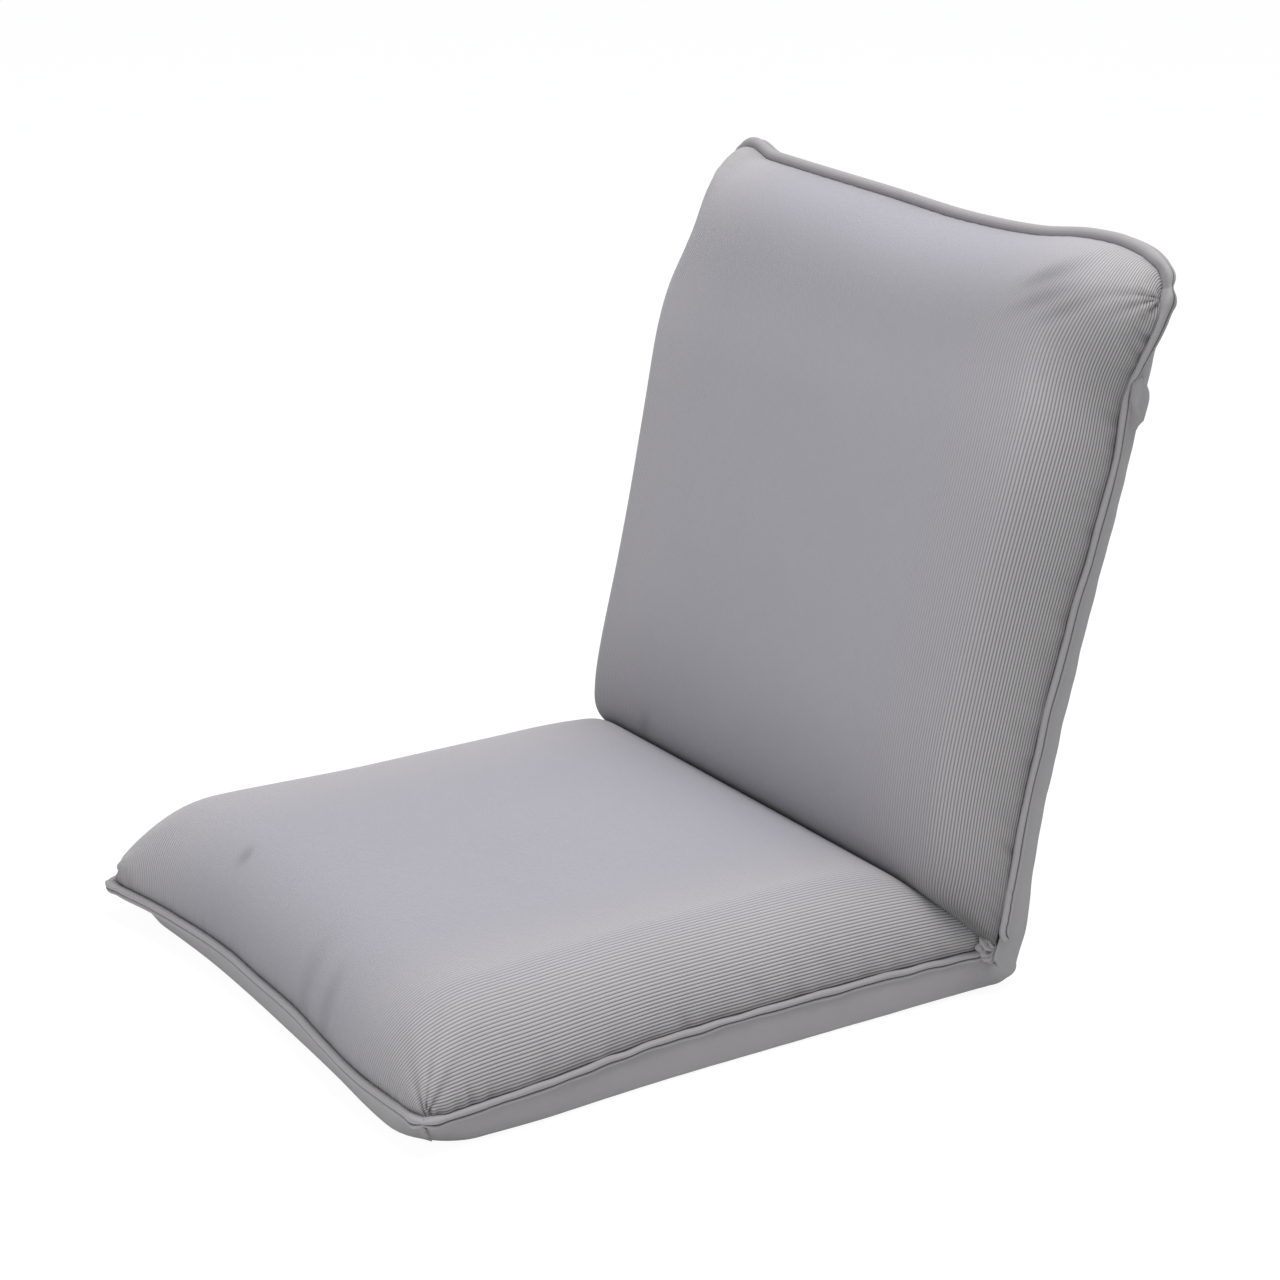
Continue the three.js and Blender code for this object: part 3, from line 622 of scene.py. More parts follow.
def makePad(shape, objectName, cloth):
    look = padLook
    rowCount = (look["endFaceRows"], look["shoulderRows"], look["topRows"], look["rollRows"])
    arcWidth = padGrid(shape, rowCount, 9)[3][sum(rowCount) // 2, -1]
    ribs = round(arcWidth / look["ribPitch"])
    perRib = look["columnsPerRib"]
    columns = ribs * perRib + 1
    x, s, t = padGrid(shape, rowCount, columns)[:3]
    points = toWorld(shape["name"], x, s, t)
    rows = len(points)
    # Distances over the cloth: across it, along it from the crease, and to the seam
    across = np.linspace(0, 1, columns)[None, :] * arcWidth + 0 * t
    lengthways = runAlong(points[:, columns // 2])[:, None] / mm + 0 * t
    toSide = np.minimum(across, arcWidth - across)
    toEnd = lengthways[-1:] - lengthways
    toSeam = np.minimum(toSide, toEnd)
    coarse = (rows // 3, round(arcWidth / look["simPitch"]))
    rowPick = np.linspace(0, rows - 1, coarse[0]).round().astype(int)
    columnPick = np.linspace(0, columns - 1, coarse[1]).round().astype(int)
    settled = simulateCloth(
        objectName + "Sim", points[np.ix_(rowPick, columnPick)], look["simCap"], shape["hand"]
    )
    free = smooth(*look["simEase"][0], lengthways) * smooth(*look["simEase"][1], toSeam)
    points = points + spread(settled, rows, columns) * free[..., None]
    # The edge tucks in under the roll, so the seam lies in a groove
    x, s, t = fromWorld(shape["name"], points)
    inX, inS = np.abs(x[-1, -1]) - np.abs(x), s[-1, -1] - s
    toCorner = np.sqrt(inX**2 + inS**2 + (t - t[-1, -1]) ** 2)
    ear = look["earInset"] * bell((toCorner, look["earReach"]))
    tuckSide = look["tuck"] * np.exp(-toSide / look["tuckReach"]) * smooth(-20, 10, lengthways) + ear
    tuckEnd = look["tuck"] * np.exp(-toEnd / look["tuckReach"]) + ear
    points = toWorld(shape["name"], x - np.sign(x) * tuckSide, s - tuckEnd, t)
    normal = gridNormals(points, shape["hand"])
    seamRun = np.where(toSide < toEnd, lengthways, across)
    shortWave, longWave = look["puckerPitch"]
    pucker = softNoise(3, seamRun / shortWave, toSeam / longWave)
    pucker = pucker * np.exp(-toSeam / look["puckerReach"]) * smooth(0, 5, toSeam)
    pucker = pucker * np.where(toEnd < toSide, look["endPuckers"], 1.0)
    more, reach = look["cornerPuckers"]
    pucker = pucker * look["puckerHeight"] * (1 + more * bell((toCorner, reach)))
    # Folds fan out from the far corners, and short ones cross the ribs where the two panels meet at the sides
    turn = np.arctan2(np.maximum(inS, 0), np.maximum(inX, 0))
    fan = np.sin(turn * look["foldsPerRadian"] + np.sign(x)) * np.exp(-toCorner / look["fanReach"])
    pucker = pucker + look["fanHeight"] * fan * smooth(2, 12, toCorner)
    fold = lengthways - look["crossPlace"]
    long, wide = look["crossReach"]
    crossing = np.sin(2 * math.pi * fold / look["crossPitch"]) * bell((fold, long), (toSide, wide))
    pucker = pucker + shape["crossHeight"] * crossing
    for side, place, width, length, lean, depth in shape["dimples"]:
        away, ahead = x - side, s - place
        first = away * math.cos(lean) + ahead * math.sin(lean)
        second = ahead * math.cos(lean) - away * math.sin(lean)
        pucker = pucker - depth * bell((first, length), (second, width)) * (t > look["dimpleFloor"])
    # The ribs are packed closer where the cloth turns into the seam
    ribPlace = np.arange(columns)[None, :] / perRib + 0 * t
    spacing = np.linalg.norm(np.gradient(points, axis=1), axis=-1) * perRib / mm
    crowding = np.clip(spacing / look["ribPitch"], look["tightest"], 1)
    points = points + normal * pucker[..., None] * mm
    rim = gridRim(rows, columns)
    count = len(rim)
    allPoints, band, lidFaces = addLid(shape, points.reshape(-1, 3), rim)
    uv = np.stack([across, lengthways], axis=-1).reshape(-1, 2) * mm
    uv = np.concatenate([uv, uv[rim], uv[:1]])
    # The rounded sides, which get a greyer painted shade tint, deeper painted shade in the rib valleys and painted
    # shade of their own
    sideward = 1 - smooth(*look["sideShadeReach"], toSide)
    # Painted shade at the free end, towards the crease and on the sides
    shade = padShade(shape, lengthways, toSide, toEnd, sideward, s)
    (near, nearReach), (far, farReach) = look["seamShade"]
    # Each value over the grid, and the one that the lid takes
    values = {
        "ribPlace": (ribPlace, 0),
        "ribEase": (crowding * smooth(0, 3, toSeam), 0),
        # Painted shade in the hollows of the puckers and dimples
        "fold": (np.clip(-pucker / look["foldShadeDepth"], 0, 1), 0),
        # Painted shade towards the seam, where the edge tucks into its groove
        "seamward": (near * np.exp(-toSeam / nearReach) + far * np.exp(-toSeam / farReach), 1),
        "shade": (shade, 1),
        "sideward": (sideward, 0),
    }
    marks = {key: np.concatenate([grid.ravel(), np.full(count + 1, lid)]) for key, (grid, lid) in values.items()}
    marks["outward"] = np.concatenate([normal.reshape(-1, 3), np.zeros((count + 1, 3))])
    obj = meshObject(objectName, allPoints, gridFaces(rows, columns), uv, marks)
    addTriangles(obj, band, lidFaces)
    sizes = {"Rib Height": look["ribHeight"] * mm, "Roundness": float(look["ribRoundness"]), "Material": cloth}
    return applyTree(obj, ribNodes, sizes, keep=("rib", "fold", "seamward", "shade", "sideward"))


def addLid(shape, flat, rim):
    # The underside is a shallow lid inside the cover
    name, height, inset = shape["name"], float(padLook["lidHeight"]), padLook["lidInset"]
    first, count = len(flat), len(rim)
    rimX, rimS = fromWorld(name, flat[rim])[:2]
    middleS = rimS.mean()
    inner = toWorld(name, rimX * inset, middleS + (rimS - middleS) * inset, np.full(count, height))
    middle = toWorld(name, np.zeros(1), np.array([middleS]), np.array([height]))
    here, nxt = ring(count)
    band = np.stack([rim[here], first + here, first + nxt, rim[nxt]], axis=-1)
    lidFaces = np.stack([first + here, np.full(count, first + count), first + nxt], axis=-1)
    return np.concatenate([flat, inner, middle]), band, lidFaces


def padShade(shape, lengthways, toSide, toEnd, sideward, s):
    # Painted shade: darker at the free end, towards the crease, in the crease's corners and on the sides
    look = padLook
    depth, place, reach = shape["endShade"]
    bandDepth, bandPlace, bandReach = look["creaseShadeBand"]
    along, wide = look["creaseCornerShade"]
    shade = 1 - depth * bell((toEnd - place, reach))
    shade = shade * (1 - shape["creaseShade"] * bell((lengthways, look["creaseShadeReach"])))
    shade = shade * (1 - bandDepth[shape["name"]] * bell((lengthways - bandPlace, bandReach)))
    shade = shade * (1 - shape["creaseShade"] * bell((lengthways, along), (toSide, wide)))
    return shade * (1 - shape["sideShade"] * sideward * (1 - smooth(*look["sideShadeSpan"], s / shape["length"])))


def addTriangles(obj, quads, triangles):
    work = bmesh.new()
    work.from_mesh(obj.data)
    work.verts.ensure_lookup_table()
    for face in [*quads.tolist(), *triangles.tolist()]:
        made = work.faces.new([work.verts[i] for i in face])
        made.smooth = True
    bmesh.ops.recalc_face_normals(work, faces=work.faces)
    work.to_mesh(obj.data)
    work.free()


# Plain cover: band, underside and rear in one sheet that runs round the hinge
coverLook = {
    "wallColumns": 12,
    "bottomColumns": 60,
    "hem": 4,
    "seamDrop": 0.4,
    "panelRows": 128,
    "fanRows": 16,
    "endRows": 14,
    "thickness": 1.3,
    "bulge": 1.2,
    "cornerRadius": {"seat": 46, "back": 38},
    "flap": 7,
    "flapSpan": (424, 430, 449, 456),
    "hingeReach": 80,
    "hingeRows": (8, 5),
    "hingeRise": 9.0,
    "hingeGap": 0.4,
    "hingeLift": 2.2,
    "hemShare": 0.4,
    "fanFullness": 0.1,
    "fanPlace": 0.78,
    "fanReach": 0.2,
    "wallReach": 36,
    "waves": ((11, 42, 120), (12, 15, 90)),
    "waveHeight": 0.3,
    "foldHeight": 0.22,
}


def widthAt(shape, s, rise):
    # The half width at a share of the way up from the outer face to the seam
    foot = curveThrough(shape["footSide"], s)
    return foot + (curveThrough(shape["side"], s) - foot) * rise


def reachAt(shape, x, rise):
    foot = curveThrough(shape["footEnd"], x)
    return foot + (curveThrough(shape["end"], x) - foot) * rise


def roundCorners(shape, x, s, rise, radius):
    # The outer face has rounder corners than the seam
    centreX = curveThrough(shape["footSide"], shape["length"]) - radius
    centreS = reachAt(shape, x, 0) - radius
    a, b = np.maximum(np.abs(x) - centreX, 1e-6) / radius, np.maximum(s - centreS, 1e-6) / radius
    share = np.maximum(a, b) / np.hypot(a, b)
    share = 1 + (share - 1) * np.maximum(1 - rise, 0) ** 0.8
    inCorner = (np.abs(x) > centreX) & (s > centreS)
    newX = np.where(inCorner, np.sign(x) * (centreX + (np.abs(x) - centreX) * share), x)
    return newX, np.where(inCorner, centreS + (s - centreS) * share, s)


def coverHalf(shape):
    # Rows from the hinge to the free end, with the end wall as the last rows
    look = coverLook
    length, hem, count = shape["length"], look["hem"], look["wallColumns"]
    straight = np.linspace(0, 1, count, endpoint=False)
    arc = np.linspace(0, math.pi / 2, count)
    across = np.linspace(-1, 1, look["bottomColumns"] + 2)[1:-1]
    rows = []
    close, hingeRows = look["hingeRows"]
    starts = [np.linspace(0, close, hingeRows, endpoint=False), np.linspace(close, length, look["panelRows"])]
    ends = np.linspace(0, 1, look["endRows"])[1:]
    for s, climb in [*((s, 0.0) for s in np.concatenate(starts)), *((length, c) for c in ends)]:
        seam = float(seamHeight(shape, s)) - look["seamDrop"]
        # The wall ends at the seam or lower: under the plane midway between the panels, and little over the axis
        top = min(seam, pivotRise + min(look["hingeRise"], s * math.tan(halfOpening)) - look["hingeGap"])
        wallT = np.concatenate([top + (hem - top) * straight, hem - hem * np.sin(arc)])
        offset = np.concatenate([-look["bulge"] * np.sin(math.pi * straight), hem - hem * np.cos(arc)])
        wallX = widthAt(shape, s, wallT / seam) - offset
        edge = widthAt(shape, s, 0)
        flat = across * (edge - hem)
        x = np.concatenate([-wallX, flat, wallX[::-1]])
        t = np.concatenate([wallT, np.zeros(len(flat)), wallT[::-1]])
        back = np.zeros(len(x))
        if climb > 0:
            # The end wall climbs through the hem to the seam
            share = look["hemShare"]
            turn = min(climb / share, 1) * math.pi / 2
            rise = hem * (1 - math.cos(turn)) + (seam - hem) * max(climb - share, 0) / (1 - share)
            back = hem * (1 - math.sin(turn)) * (1 - t / seam)
            t = rise + t * (seam - rise) / seam
            wide = widthAt(shape, s, t / seam)
            x = np.where(np.abs(x) < edge - hem, x * (wide / edge), np.sign(x) * wide)
        else:
            back = hem * (1 - t / seam) * smooth(0.6, 1, s / length)
        reach = reachAt(shape, x, t / seam) - back
        place = s + (reach - length) * smooth(0.3, 1, s / length)
        x, place = roundCorners(shape, x, place, t / seam, look["cornerRadius"][shape["name"]])
        if shape["name"] == "back":
            # The frame's bend pushes a flat flap out of the wall on the sitter's left
            rises, falls = look["flapSpan"][:2], look["flapSpan"][2:]
            flap = smooth(*rises, s) * (1 - smooth(*falls, s)) * smooth(-4, 6, t) * (1 - smooth(0.7, 1, t / seam))
            x = x + look["flap"] * flap * (x > 200)
        # The seat's underside rises a little towards the hinge
        if shape["name"] == "seat":
            t = t + look["hingeLift"] * bell((s, look["hingeReach"])) * (1 - t / seam)
        rows.append((x, place, t))
    return [np.array(part) for part in zip(*rows)]


def makeCover():
    look = coverLook
    seatX, seatS, seatT = coverHalf(seatShape)
    backX, backS, backT = coverHalf(backShape)
    seat = toWorld("seat", seatX, seatS, seatT)[::-1]
    back = toWorld("back", backX, backS, backT)
    fan = []
    for q in np.linspace(0, 1, look["fanRows"] + 2)[1:-1]:
        x = seatX[0] + (backX[0] - seatX[0]) * smooth(0, 1, q)
        # The outer bend is fuller towards the back
        fullness = look["fanFullness"] * bell((q - look["fanPlace"], look["fanReach"]))
        lifted = look["hingeLift"] * (1 - smooth(0, 0.45, q)) / pivotRise
        h = seatT[0] - look["hingeLift"] * (1 - seatT[0] / seatT[0].max()) - pivotRise
        h = h * (1 + fullness - lifted)
        angle = q * restAngle
        fan.append(
            np.stack([x * mm, pivot[1] - h * math.sin(angle) * mm, pivot[2] + h * math.cos(angle) * mm], axis=-1)
        )
    points = np.concatenate([seat, np.array(fan), back])
    rows, columns = points.shape[:2]
    normal = -gridNormals(points)
    across = runAlong(points[20])[None, :] / mm
    lengthways = runAlong(points[:, columns // 2])[:, None] / mm
    toEdge = np.minimum(across, across[0, -1] - across)
    toEnd = np.minimum(lengthways, lengthways[-1] - lengthways)
    wall = np.clip(1 - toEdge / look["wallReach"], 0, 1)
    waves, folds = (
        softNoise(seed, lengthways / along + 0 * across, across / wide + 0 * lengthways)
        for seed, along, wide in look["waves"]
    )
    height = look["waveHeight"]
    lift = waves * (height + height * smooth(0, 0.4, wall)) + folds * look["foldHeight"] * smooth(0.1, 0.6, wall)
    inward = smooth(0, 4, toEdge) * smooth(0, 6, toEnd)
    # Cloth that lies on the floor stays nearly flat
    grounded = 1 - 0.8 * (np.abs(points[..., 2]) < 0.006)
    points = points + normal * (lift * inward * grounded)[..., None] * mm
    points[..., 2] = np.maximum(points[..., 2], 0.0002)
    uv = np.stack([across + 0 * lengthways, lengthways + 0 * across], axis=-1).reshape(-1, 2) * mm
    obj = meshObject("plainCover", points.reshape(-1, 3), gridFaces(rows, columns)[:, ::-1], uv)
    work = bmesh.new()
    work.from_mesh(obj.data)
    bmesh.ops.remove_doubles(work, verts=work.verts, dist=0.00002)
    work.to_mesh(obj.data)
    work.free()
    solid = obj.modifiers.new("cloth", "SOLIDIFY")
    solid.thickness = look["thickness"] * mm
    solid.offset = -1
    return obj, flatSize(points)


def flatSize(points):
    # What the sheet is cut to: its widest row, its longest column and the area of its surface
    cells = np.cross(points[1:, 1:] - points[:-1, :-1], points[1:, :-1] - points[:-1, 1:])
    width = np.linalg.norm(np.diff(points, axis=1), axis=-1).sum(axis=1).max()
    length = np.linalg.norm(np.diff(points, axis=0), axis=-1).sum(axis=0).max()
    return {"flat": (float(width), float(length)), "area": float(np.linalg.norm(cells, axis=-1).sum() / 2)}


# Firm pads: the slab on the outer cover and the core inside the frame loop
firmLook = {
    "inset": 4,
    "endGap": 4,
    "floor": 2,
    "overlap": 3,
    "slabTop": 13.6,
    "coreTop": 31.5,
    "coreHalfWidth": 214,
    "coreCorner": 40,
    "seat": {"slabStart": 27, "coreStart": 44, "coreEnd": 438},
    "back": {"slabStart": 35, "coreStart": 52, "coreEnd": 405},
}


def prismOf(outline, low, high, ease=3.0):
    # A closed slab over an outline of (across, along) places, its edges eased
    centre = outline.mean(axis=0)
    levels = [
        (low, ease),
        (low + ease * 0.3, ease * 0.3),
        (low + ease, 0),
        (high - ease, 0),
        (high - ease * 0.3, ease * 0.3),
        (high, ease),
    ]
    size = np.abs(outline - centre).max(axis=0)
    rings = [
        np.column_stack([centre + (outline - centre) * (1 - inset / size), np.full(len(outline), level)])
        for level, inset in levels
    ]
    count = len(outline)
    points = np.concatenate([*rings, [[*centre, low]], [[*centre, high]]])
    here, nxt = ring(count)
    walls = np.concatenate(
        [
            np.stack([k * count + here, k * count + nxt, (k + 1) * count + nxt, (k + 1) * count + here], axis=-1)
            for k in range(len(levels) - 1)
        ]
    )
    base, last = len(levels) * count, (len(levels) - 1) * count
    caps = np.concatenate(
        [
            np.stack([nxt, here, np.full(count, base)], axis=-1),
            np.stack([last + here, last + nxt, np.full(count, base + 1)], axis=-1),
        ]
    )
    return points, walls, caps


def makeFirmPad(shape, objectName):
    look = firmLook
    own = look[shape["name"]]
    end = np.linspace(-1, 1, 60)
    side = np.linspace(own["slabStart"], shape["length"] - look["endGap"], 60)
    wide = curveThrough(shape["footSide"], side) - look["inset"]
    endX = end * wide[-1]
    endS = reachAt(shape, endX, 0) - look["inset"] - look["endGap"]
    side = side * (1 + (endS[0] / side[-1] - 1) * smooth(0.3, 1, side / side[-1]))
    slabX = np.concatenate([-wide, endX[1:-1], wide[::-1]])
    slabS = np.concatenate([side, endS[1:-1], side[::-1]])
    slabX, slabS = roundCorners(shape, slabX, slabS, 0.0, coverLook["cornerRadius"][shape["name"]] + look["inset"])
    corner, half = look["coreCorner"], look["coreHalfWidth"]
    turn = np.linspace(0, math.pi / 2, 9)
    coreX = np.concatenate(
        [[-half], -(half - corner) - corner * np.cos(turn), (half - corner) + corner * np.sin(turn), [half]]
    )
    farS = own["coreEnd"] - corner
    coreS = np.concatenate(
        [[own["coreStart"]], farS + corner * np.sin(turn), farS + corner * np.cos(turn), [own["coreStart"]]]
    )
    slab = prismOf(np.column_stack([slabX, slabS]), look["floor"], look["slabTop"])
    core = prismOf(np.column_stack([coreX, coreS]), look["slabTop"] - look["overlap"], look["coreTop"])
    offset = len(slab[0])
    local = np.concatenate([slab[0], core[0]])
    points = toWorld(shape["name"], local[:, 0], local[:, 1], local[:, 2])
    obj = meshObject(objectName, points, np.concatenate([slab[1], core[1] + offset]))
    addTriangles(obj, np.zeros((0, 4), int), np.concatenate([slab[2], core[2] + offset]))
    return obj


# Welts: a flange of the same cloth, folded into two ridges, along each panel's seam
weltLook = {
    "outline": [
        (-2.2, 0.4), (-0.8, 1.9), (1.4, 2.3), (3.1, 1.4), (3.5, -0.2), (2.9, -1.5), (1.5, -2.0), (2.6, -2.6),
        (2.9, -4.0), (1.7, -5.2), (-0.6, -5.0), (-1.6, -2.4),
    ],
    "sectionPoints": 36,
    "step": 1.6,
    "waves": ((3, 110, 260), (2, 70, 150), (1, 8, 31), (0, 55, 130)),
    "wobble": 0.5,
    "swelling": 0.16,
    "ripple": 0.06,
    "gathers": {"seat": 0.5, "back": 0.18},
    "hook": 8,
    "hookEnd": {"seat": 5, "back": 22},
    "hookTurn": {"seat": 0.8, "back": -1},
    "pinch": 0.45,
    "pinchReach": 4,
    "pinchInward": 1.5,
    "swell": (0.25, 11, 5),
    "rollInward": 3.5,
    "rollEase": (8, 34),
    "endTaper": 0.45,
    "flange": 6,
    "flangeReach": 16,
    "stitchPitch": 3.4,
    "stitchLength": 2.7,
    "stitchThickness": 0.6,
    "stitchFold": (1.7, -2.0),
    # How wide the painted shade along the fold lies
    "creaseShadeReach": 0.7,
    "jog": [(400, 0), (425, 0), (438, -2.2), (447, -3.2), (453, -0.3), (461, 0), (478, 0)],
}


def weltSection():
    outline = np.array(weltLook["outline"] + weltLook["outline"][:1], float)
    loop = np.concatenate([outline[-3:-1], outline, outline[1:3]])
    index = np.arange(len(loop)) - 2
    at = np.linspace(0, len(outline) - 1, weltLook["sectionPoints"], endpoint=False)
    return np.stack([curveThrough(np.stack([index, loop[:, k]], axis=-1), at) for k in range(2)], axis=-1)


def seamPath(shape):
    # The seam from the hinge on one side, round the free end and back, with a hook at each hinge end
    look = weltLook
    hook = look["hook"]
    first = look["hookEnd"][shape["name"]] + hook
    turn = np.linspace(math.pi / 2, 0, 12, endpoint=False)
    hookS = first - hook * np.sin(turn)
    hookT = seamHeight(shape, first) + look["hookTurn"][shape["name"]] * hook * (1 - np.cos(turn))
    leftS = np.linspace(first, shape["end"][0][1], 150)
    rightS = np.linspace(first, shape["end"][-1][1], 150)
    endX = np.linspace(shape["end"][0][0], shape["end"][-1][0], 160)[1:-1]
    jog = curveThrough(look["jog"], rightS) if shape["name"] == "back" else 0 * rightS
    hookX = curveThrough(shape["side"], hookS)
    x = np.concatenate(
        [
            -hookX,
            -curveThrough(shape["side"], leftS),
            endX,
            (curveThrough(shape["side"], rightS) + jog)[::-1],
            hookX[::-1],
        ]
    )
    s = np.concatenate([hookS, leftS, curveThrough(shape["end"], endX), rightS[::-1], hookS[::-1]])
    t = np.concatenate(
        [
            hookT,
            seamHeight(shape, leftS),
            seamHeight(shape, leftS[-1]) + 0 * endX,
            seamHeight(shape, rightS[::-1]),
            hookT[::-1],
        ]
    )
    path = np.stack([x, s, t], axis=-1)
    run = runAlong(path)
    even = np.linspace(0, run[-1], int(run[-1] / look["step"]))
    return np.stack([np.interp(even, run, path[:, k]) for k in range(3)], axis=-1), even


def makeWelt(shape, objectName, seed, cloth, thread):
    look = weltLook
    path, run = seamPath(shape)
    section = weltSection()
    tangent = np.gradient(path, axis=0)
    tangent /= np.linalg.norm(tangent, axis=-1, keepdims=True)
    outward = np.cross(tangent, [0, 0, -1.0])
    steep = np.abs(tangent[:, 2]) > 0.2
    outward[steep] = np.stack([np.sign(path[steep, 0]), 0 * path[steep, 0], 0 * path[steep, 0]], axis=-1)
    outward /= np.linalg.norm(outward, axis=-1, keepdims=True)
    upward = np.cross(tangent, outward)
    # At the far corners the flange is pinched in, and its ends taper; along the free end it is a fuller roll
    cornerRun = [
        run[np.argmin(np.hypot(path[:, 0] - place[0], path[:, 1] - place[1]))]
        for place in (shape["end"][0], shape["end"][-1])
    ]
    onEnd = smooth(*look["rollEase"], run - cornerRun[0]) * smooth(*look["rollEase"], cornerRun[1] - run)
    size = 1 + (shape["endWelt"] - 1) * onEnd
    inward = look["rollInward"] * (size - 1)
    flange = np.zeros(len(run))
    swell, swellPlace, swellReach = look["swell"]
    for corner in cornerRun:
        near = run - corner
        pinched = bell((near, look["pinchReach"]))
        size -= look["pinch"] * pinched
        size += swell * bell((np.abs(near) - swellPlace, swellReach))
        inward += look["pinchInward"] * pinched
        flange += bell((near, look["flangeReach"]))
    size *= look["endTaper"] + (1 - look["endTaper"]) * smooth(0, 5, np.minimum(run, run[-1] - run))
    calm = 1 - 0.85 * onEnd
    bunches, swells, ripples, sway = (
        softNoise(seed + offset, run / short, run / long) for offset, short, long in look["waves"]
    )
    gather = smooth(0.45, 0.9, bunches) * calm * look["gathers"][shape["name"]]
    marks = {
        "fullness": size,
        "thickness": size * (1 + look["swelling"] * swells * calm),
        "inward": inward * mm,
        "corner": flange,
        "gather": ripples * calm * (look["ripple"] + gather),
        "wobble": sway * look["wobble"] * calm * mm,
        "calm": calm,
        "run": run * mm,
    }
    origin = toWorld(shape["name"], 0.0, 0.0, 0.0)
    centre = toWorld(shape["name"], *path.T)
    ways = [(toWorld(shape["name"], *way.T) - origin) / mm for way in (outward, upward)]
    marks.update({"centre": centre, "outward": ways[0], "upward": ways[1]})
    foldReach, foldRise = look["stitchFold"]
    sectionMarks = {
        "sectionReach": section[:, 0] * mm,
        "sectionRise": section[:, 1] * mm,
        "lip": section[:, 0] > 1,
        "inner": section[:, 0] < -0.7,
        # Where the painted shade of the fold lies on the section
        "crease": bell((section[:, 1] - foldRise, look["creaseShadeReach"])) * (section[:, 0] > 1),
        "around": runAlong(section) * mm,
    }
    sectionLine = lineObject(
        objectName + "Section", np.column_stack([section, 0 * section[:, 0]]) * mm, True, sectionMarks
    )
    obj = lineObject(objectName, centre, False, marks)
    applyTree(
        obj,
        weltNodes,
        {"Section": sectionLine, "Fullness": 1.0, "Gather": mm, "Flange": look["flange"] * mm, "Material": cloth},
        keep=("valley",),
    )
    bpy.data.objects.remove(sectionLine)
    # Stitches lie in the fold between the two ridges
    reach = (foldReach * marks["fullness"] * mm - marks["inward"])[:, None]
    rise = (foldRise * marks["thickness"] * mm + marks["wobble"])[:, None]
    line = lineObject(shape["name"] + "Stitches", centre + ways[0] * reach + ways[1] * rise, False, {})
    applyTree(
        line,
        stitchNodes,
        {
            "Pitch": look["stitchPitch"] * mm,
            "Length": look["stitchLength"] * mm,
            "Thickness": look["stitchThickness"] * mm,
            "Material": thread,
        },
    )
    return obj, line


# Gathers: where both seams end at the hinge the cloth is bunched into a small crumpled knot
gatherLook = {
    "places": [(247, -2, 14), (-247, -2, 14)],
    "size": (6.5, 10, 12),
    "rings": 30,
    "sides": 54,
    "pole": 0.02,
    "creases": (0.15, 8, 4),
    "roughness": 0.1,
    # How strongly painted shade fills the crease hollows
    "creaseShadeDark": 7,
}


def makeGathers():
    look = gatherLook
    rise, turn = np.meshgrid(
        np.linspace(look["pole"], math.pi - look["pole"], look["rings"]),
        np.linspace(0, 2 * math.pi, look["sides"], endpoint=False),
        indexing="ij",
    )
    ball = np.stack([np.cos(rise), np.sin(rise) * np.cos(turn), np.sin(rise) * np.sin(turn)], axis=-1)
    points, faces = [], []
    depth, folds, lean = look["creases"]
    for index, place in enumerate(look["places"]):
        creases = depth * np.sin(folds * turn + lean * rise) * np.sin(rise)
        creases = creases + look["roughness"] * softNoise(41 + index, *np.moveaxis(ball, -1, 0))
        lump = ball * np.array(look["size"]) * (1 + creases)[..., None] + np.array(place)
        faces.append(gridFaces(*rise.shape, offset=len(faces) * rise.size, closeColumns=True))
        points.append((lump * mm + np.array([0, pivot[1], pivot[2]])).reshape(-1, 3))
    uv = np.tile(np.stack([turn, rise], axis=-1).reshape(-1, 2) * 0.01, (len(points), 1))
    # The crease hollows are painted darker, as painted shade
    obj = meshObject(
        "hingeGathers",
        np.concatenate(points),
        np.concatenate(faces),
        uv,
        {"valley": np.tile(np.clip(-creases * look["creaseShadeDark"], 0, 1).ravel(), len(points))},
    )
    around, count = np.arange(look["sides"]), rise.size
    ends = [
        np.stack([np.full(len(around) - 2, base), base + around[1:-1], base + around[2:]], axis=-1)
        for k in range(len(points))
        for base in (k * count, k * count + count - len(around))
    ]
    addTriangles(obj, np.zeros((0, 4), int), np.concatenate(ends))
    return obj


# Materials
def nodeGroup(name, inputs, outputs):
    tree = bpy.data.node_groups.new(name, "ShaderNodeTree")
    for label, value in inputs.items():
        kind = "NodeSocketColor" if isinstance(value, tuple) else "NodeSocketFloat"
        tree.interface.new_socket(label, in_out="INPUT", socket_type=kind).default_value = value
    for label, kind in outputs.items():
        tree.interface.new_socket(label, in_out="OUTPUT", socket_type=kind)
    return tree, tree.nodes.new("NodeGroupInput"), tree.nodes.new("NodeGroupOutput")


def clothWearGroup():
    # Soft patches and fine fuzz that vary a cloth's colour and roughness
    tree, given, made = nodeGroup(
        "clothWear",
        {"Color": (0.5, 0.5, 0.5, 1), "Patches": 0.06, "Fuzz": 0.1},
        {"Color": "NodeSocketColor", "Roughness": "NodeSocketFloat", "Fuzz": "NodeSocketFloat"},
    )
    coords = addNode(tree, "ShaderNodeTexCoord").outputs["Object"]
    values = []
    for scale, detail in ((9.0, 3.0), (900.0, 2.0)):
        noise = addNode(tree, "ShaderNodeTexNoise", {"Vector": coords, "Scale": scale, "Detail": detail})
        values.append(math2(tree, "SUBTRACT", noise.outputs["Fac"], 0.5))
    patches = math2(tree, "MULTIPLY", values[0], given.outputs["Patches"])
    fuzz = math2(tree, "MULTIPLY", values[1], given.outputs["Fuzz"])
    total = math2(tree, "ADD", math2(tree, "ADD", patches, fuzz), 1.0)
    tree.links.new(vectorScaled(tree, given.outputs["Color"], total), made.inputs["Color"])
    tree.links.new(math2(tree, "ADD", fuzz, 0.92), made.inputs["Roughness"])
    tree.links.new(values[1], made.inputs["Fuzz"])
    return tree


